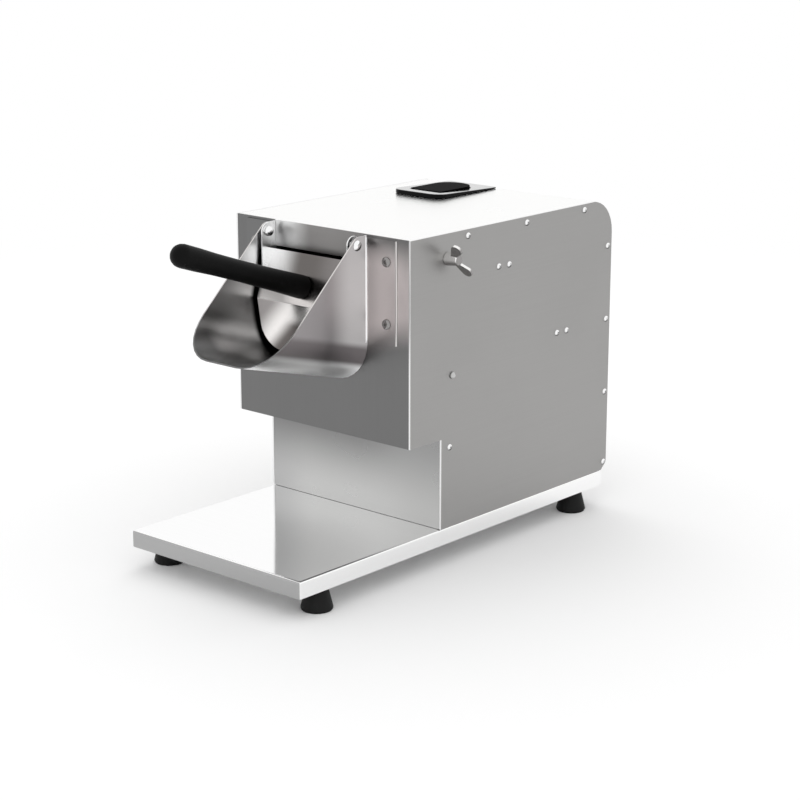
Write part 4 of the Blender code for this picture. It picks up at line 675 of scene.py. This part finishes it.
def drumMaterial(look):
    material, tree, place = newMaterial(look["name"])
    axis = (drumLow + drumHigh) / 2
    x, y, z = put(tree, "SeparateXYZ", {0: place}, None).outputs
    deep = put(tree, "Math", {0: y, 1: axis.y}, operation="SUBTRACT")
    high = put(tree, "Math", {0: z, 1: axis.z}, operation="SUBTRACT")
    turn = put(tree, "Math", {0: high, 1: deep}, operation="ARCTAN2")
    radius = (drumHigh.z - drumLow.z) / 2
    rows = 2 * round(math.pi * radius / (look["pitch"] * mm))   # whole rows round the tube
    around = put(tree, "Math", {0: turn, 1: rows / (2 * math.pi)}, operation="MULTIPLY")
    aside = put(tree, "Math", {0: x, 1: 1 / (look["pitch"] * mm)}, operation="MULTIPLY")
    grid = put(tree, "CombineXYZ", {0: aside, 1: around})
    dots = put(tree, "TexVoronoi", {"Vector": grid, "Scale": 1.0, "Randomness": 0.0}, "Distance")
    tooth = put(tree, "MapRange", {0: dots, 1: look["toothTop"], 2: look["toothFoot"], 3: 1.0, 4: 0.0})
    return finishMaterial(material, "BsdfPrincipled", {
        "Base Color": paint(tree, look["light"], (tooth, look["dark"])),
        "Metallic": 1.0, "Roughness": look["rough"],
        "Normal": put(tree, "Bump", {
            "Height": tooth, "Strength": 1.0, "Distance": look["toothHeight"] * mm})})


dress(drumLook, drumMaterial(drumLook))
print("drum done")


# moulded PVC grip: deep black that hardly shines
gripLook = {
    "name": "pvcGripMoulded", "dark": "#080808", "light": "#0d0d0d",
    "texture": 0.9, "rough": (0.46, 0.56), "bump": 0.10, "ior": 1.53, "sheen": 0.08,
    "on": ["handle_grip"], "edge": 0.4,
}
dress(gripLook, mouldedMaterial(gripLook))

# moulded rubber feet: matt black, a little greyer than the grip
footLook = {
    "name": "rubberMouldedBlack", "dark": "#0c0c0c", "light": "#141414",
    "texture": 1.1, "rough": (0.55, 0.68), "bump": 0.25, "ior": 1.52, "sheen": 0.2,
    "on": ["foot_front_left", "foot_front_right", "foot_rear_left", "foot_rear_right"], "edge": 0.3,
}
dress(footLook, mouldedMaterial(footLook))

# ribbed rubber belt: dusty black
beltLook = {
    "name": "rubberBeltRibbed", "dark": "#101010", "light": "#1a1a1a",
    "texture": 1.5, "rough": (0.60, 0.72), "bump": 0.4, "ior": 1.52,
    "on": ["drive_belt"], "edge": 0.2,
}
dress(beltLook, mouldedMaterial(beltLook))

# moulded ABS bezel: its polished top mirrors the room, its sides stay black
bezelLook = {
    "name": "absGlossBlack", "dark": "#0a0a0a", "light": "#0f0f0f",
    "texture": 0.8, "rough": (0.14, 0.20), "bump": 0.03, "ior": 1.54,
    "sheen": 0.06, "topSheen": 1.0, "topTurn": (0.2, 0.8),
    "on": ["switch_bezel"], "edge": 0.5,
}
dress(bezelLook, mouldedMaterial(bezelLook))

# moulded ABS rocker: spark-eroded, so that it stays flat black
rockerLook = {
    "name": "absMattBlack", "dark": "#060606", "light": "#0a0a0a",
    "texture": 0.8, "rough": (0.50, 0.60), "bump": 0.10, "ior": 1.54, "sheen": 0.01,
    "on": ["switch_rocker"], "edge": 0.4,
}
dress(rockerLook, mouldedMaterial(rockerLook))

# moulded nylon fittings: black with a dull shine
fittingLook = {
    "name": "nylonBlack", "dark": "#121212", "light": "#191919",
    "texture": 0.9, "rough": (0.40, 0.50), "bump": 0.12, "ior": 1.53,
    "on": ["power_inlet", "switch_body", "motor_fan"], "edge": 0.3,
}
dress(fittingLook, mouldedMaterial(fittingLook))

# moulded polypropylene can of the capacitor: warm white, slightly waxy
capacitorLook = {
    "name": "polypropyleneWhite", "dark": "#d6d5cf", "light": "#e1e0db",
    "texture": 1.2, "rough": (0.38, 0.46), "bump": 0.08, "ior": 1.49,
    "on": ["capacitor"], "edge": 0.4,
}
dress(capacitorLook, mouldedMaterial(capacitorLook))

# sprayed enamel on the motor's shell: blue grey with a slight orange peel
motorLook = {
    "name": "enamelMotorGrey", "dark": "#545b61", "light": "#5d656b",
    "texture": 1.4, "rough": (0.38, 0.50), "bump": 0.2, "ior": 1.5,
    "on": ["motor_body"], "edge": 0.4,
}
dress(motorLook, mouldedMaterial(motorLook))
print("plastics and rubber done")


def sortedMesh(name, mesh):
    # a cut leaves its corners in another order each run, so they are put in a fixed one
    corners = sorted(mesh.vertices, key=lambda corner: [round(c, 7) for c in corner.co])
    rank = {corner.index: i for i, corner in enumerate(corners)}
    faces = []
    for face in mesh.polygons:
        loop = [rank[i] for i in face.vertices]
        first = loop.index(min(loop))
        faces.append(loop[first:] + loop[:first])
    fixed = bpy.data.meshes.new(name)
    fixed.from_pydata([corner.co for corner in corners], [], sorted(faces))
    return fixed


def cutShape(name, mesh, cutters):
    # the mesh with the cutters taken out of it
    obj = showObject(name, mesh)
    tools = [showObject(name + "Cutter" + str(i), cutter) for i, cutter in enumerate(cutters)]
    for tool in tools:
        cut = obj.modifiers.new("cut", "BOOLEAN")
        cut.object = tool
        cut.operation = "DIFFERENCE"
        cut.solver = "EXACT"
    bpy.context.view_layer.update()
    cutMesh = obj.evaluated_get(bpy.context.evaluated_depsgraph_get()).to_mesh()
    shaped = sortedMesh(name, cutMesh)
    for item in [obj] + tools:
        bpy.data.objects.remove(item, do_unlink=True)
    shaped.shade_smooth()
    shaped.set_sharp_from_angle(angle=math.radians(edgeLook["cutSharpFrom"]))
    return shaped


def turnedMesh(name, profile, steps=32):
    # a closed solid from (radius, height) points in mm, turned round z
    build = bmesh.new()
    ring = [build.verts.new((r * mm, 0, h * mm)) for r, h in profile]
    edges = [build.edges.new(pair) for pair in zip(ring, ring[1:])]
    bmesh.ops.spin(
        build, geom=ring + edges, cent=(0, 0, 0), axis=(0, 0, 1), steps=steps, angle=2 * math.pi)
    bmesh.ops.remove_doubles(build, verts=build.verts, dist=1e-6)
    bmesh.ops.recalc_face_normals(build, faces=build.faces)
    return smoothMesh(name, build)


def slotMesh(name, size, turn, rise):
    # a box in mm, turned round z and lifted
    build = bmesh.new()
    matrix = (Matrix.Translation((0, 0, rise * mm)) @ Matrix.Rotation(turn, 4, "Z")
              @ Matrix.Diagonal([s * mm for s in size] + [1]))
    bmesh.ops.create_cube(build, size=1.0, matrix=matrix)
    return smoothMesh(name, build)


def socketMesh(name, sides, across, height, rise):
    # a prism in mm, measured across its flats
    build = bmesh.new()
    radius = across / 2 / math.cos(math.pi / sides) * mm
    bmesh.ops.create_cone(
        build, cap_ends=True, segments=sides, radius1=radius, radius2=radius, depth=height * mm,
        matrix=Matrix.Translation((0, 0, rise * mm)))
    return smoothMesh(name, build)


def addPiece(name, mesh, material, body, matrix):
    obj = showObject(name, mesh)
    obj.matrix_world = matrix
    if not mesh.materials:
        mesh.materials.append(material)
    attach(obj, body)
    return obj


# M4 pan heads with a cross recess hold the side panels
panLook = {
    "radius": 3.6, "rise": 2.2, "slotLength": 3.4, "slotWidth": 0.7, "slotDepth": 1.1,   # mm
    # the dome by shares of the radius and of the rise
    "dome": [(0, 1), (0.45, 0.97), (0.75, 0.8), (0.93, 0.5), (1, 0.12), (0.99, 0)],
    "firstTurn": 20, "nextTurn": 37,   # degrees, so that no two heads stop alike
    # mm behind the head's front and mm over the base tray
    "places": [
        (91.6, 313.0), (191.6, 313.3), (295.9, 313.3), (342.0, 266.4), (342.0, 181.4), (342.8, 95.0),
        (344.0, 10.0), (63.5, 89.6), (143.8, 272.5), (161.6, 272.1), (249.0, 181.3), (266.9, 181.0)],
}


def panHead(look):
    profile = [(r * look["radius"], h * look["rise"]) for r, h in look["dome"]] + [(0, 0)]
    size = (look["slotLength"], look["slotWidth"], look["slotDepth"] * 2)
    slots = [slotMesh("slot", size, turn, look["rise"]) for turn in (0, math.pi / 2)]
    return cutShape("panHead", turnedMesh("panHead", profile), slots)


panMesh = panHead(panLook)
for side, name in ((1, "Right"), (-1, "Left")):
    for i, (back, up) in enumerate(panLook["places"]):
        place = Matrix.Translation((side * bodySide, headFront + back * mm, baseTop + up * mm))
        lean = Matrix.Rotation(side * math.pi / 2, 4, "Y")
        spin = Matrix.Rotation(math.radians(panLook["firstTurn"] + panLook["nextTurn"] * i), 4, "Z")
        addPiece(
            "panScrew" + name + str(i), panMesh, headSteel, "housing",
            place @ lean @ spin)
print("side screws done")


# M5 button heads with a hexagon socket hold the chute, in place of the plain CAD heads
buttonLook = {
    "radius": 5.5, "rise": 2.4, "shank": 2.5, "length": 10.0,   # mm
    "socket": 3.0, "socketSides": 6, "socketDepth": 1.6,        # mm across its flats
    # the dome by shares of the radius and of the rise
    "dome": [(0, 1), (0.5, 1), (0.76, 0.83), (0.93, 0.5), (1, 0.08), (0.98, 0)],
    "nextTurn": 23,   # degrees
    "places": ["top_left", "top_right", "low_left", "low_right"],
}


def buttonHead(look):
    profile = [(r * look["radius"], h * look["rise"]) for r, h in look["dome"]]
    profile += [(look["shank"], 0), (look["shank"], -look["length"]), (0, -look["length"])]
    socket = socketMesh(
        "socket", look["socketSides"], look["socket"], look["socketDepth"] * 2, look["rise"])
    return cutShape("buttonHead", turnedMesh("buttonHead", profile), [socket])


buttonMesh = buttonHead(buttonLook)
for i, place in enumerate(buttonLook["places"]):
    low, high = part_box("chute_screw_" + place)
    middle = (low + high) / 2
    seat = low.y + buttonLook["rise"] * mm
    lean = Matrix.Translation((middle.x, seat, middle.z)) @ Matrix.Rotation(math.pi / 2, 4, "X")
    spin = Matrix.Rotation(math.radians(buttonLook["nextTurn"] * i), 4, "Z")
    screw = addPiece(
        "buttonScrew" + str(i), buttonMesh, boltSteel, "housing", lean @ spin)
    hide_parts("chute_screw_" + place)
print("chute screws done")


# studio: pale paper floor that fades to white, white surround, two soft lamps
studioLook = {
    "floor": "#f8f8f8", "floorSize": 15, "fadeFrom": 0.85, "fadeTo": 1.9,   # metres
    "ambient": 1.0,
    "lamps": {
        "keyLamp": {"place": (-1.0, 1.1, 2.5), "target": (0, 0, 0.1), "size": 2.2, "power": 12.0},
        "fillLamp": {"place": (1.6, -2.2, 1.8), "target": (0, 0, 0.2), "size": 1.6, "power": 4.0},
    },
}


def seenRays(tree):
    # 1 for rays that show the surround itself: camera, glossy and transmission
    rays = put(tree, "LightPath", out=None).outputs
    both = put(tree, "Math", {0: rays["Is Camera Ray"], 1: rays["Is Glossy Ray"]}, operation="MAXIMUM")
    return put(tree, "Math", {0: both, 1: rays["Is Transmission Ray"]}, operation="MAXIMUM")


def studioFloor(look):
    build = bmesh.new()
    bmesh.ops.create_grid(build, x_segments=1, y_segments=1, size=look["floorSize"])
    floor = showObject("studioFloor", smoothMesh("studioFloor", build))
    material, tree, place = newMaterial("paperMattWhite")
    far = put(tree, "VectorMath", {0: place}, 1, operation="LENGTH")
    fade = softMask(tree, (far, look["fadeFrom"], look["fadeTo"]))
    finishMaterial(material, "MixShader", {
        0: put(tree, "Math", {0: fade, 1: seenRays(tree)}, operation="MULTIPLY"),
        1: put(tree, "BsdfDiffuse", {"Color": look["floor"]}),
        2: put(tree, "Emission", {"Color": "#ffffff", "Strength": 1.0})})
    floor.data.materials.append(material)


def studioWorld(look):
    world = bpy.data.worlds.new("studioWorld")
    bpy.context.scene.world = world
    world.use_nodes = True
    tree = world.node_tree
    tree.nodes.clear()
    strength = put(tree, "MapRange", {0: seenRays(tree), 3: look["ambient"], 4: 1.0})
    sky = put(tree, "Background", {"Color": "#ffffff", "Strength": strength})
    put(tree, "OutputWorld", {"Surface": sky}, None)


def softLamp(name, look):
    lamp = bpy.data.lights.new(name, "AREA")
    lamp.shape = "DISK"
    lamp.size = look["size"]
    lamp.energy = look["power"]
    obj = showObject(name, lamp)
    obj.location = look["place"]
    obj.rotation_mode = "QUATERNION"
    obj.rotation_quaternion = (Vector(look["target"]) - Vector(look["place"])).to_track_quat("-Z", "Y")
    obj.visible_glossy = False


studioFloor(studioLook)
studioWorld(studioLook)
for name, look in studioLook["lamps"].items():
    softLamp(name, look)
view = bpy.context.scene.view_settings
view.view_transform = "Standard"
print("studio done")
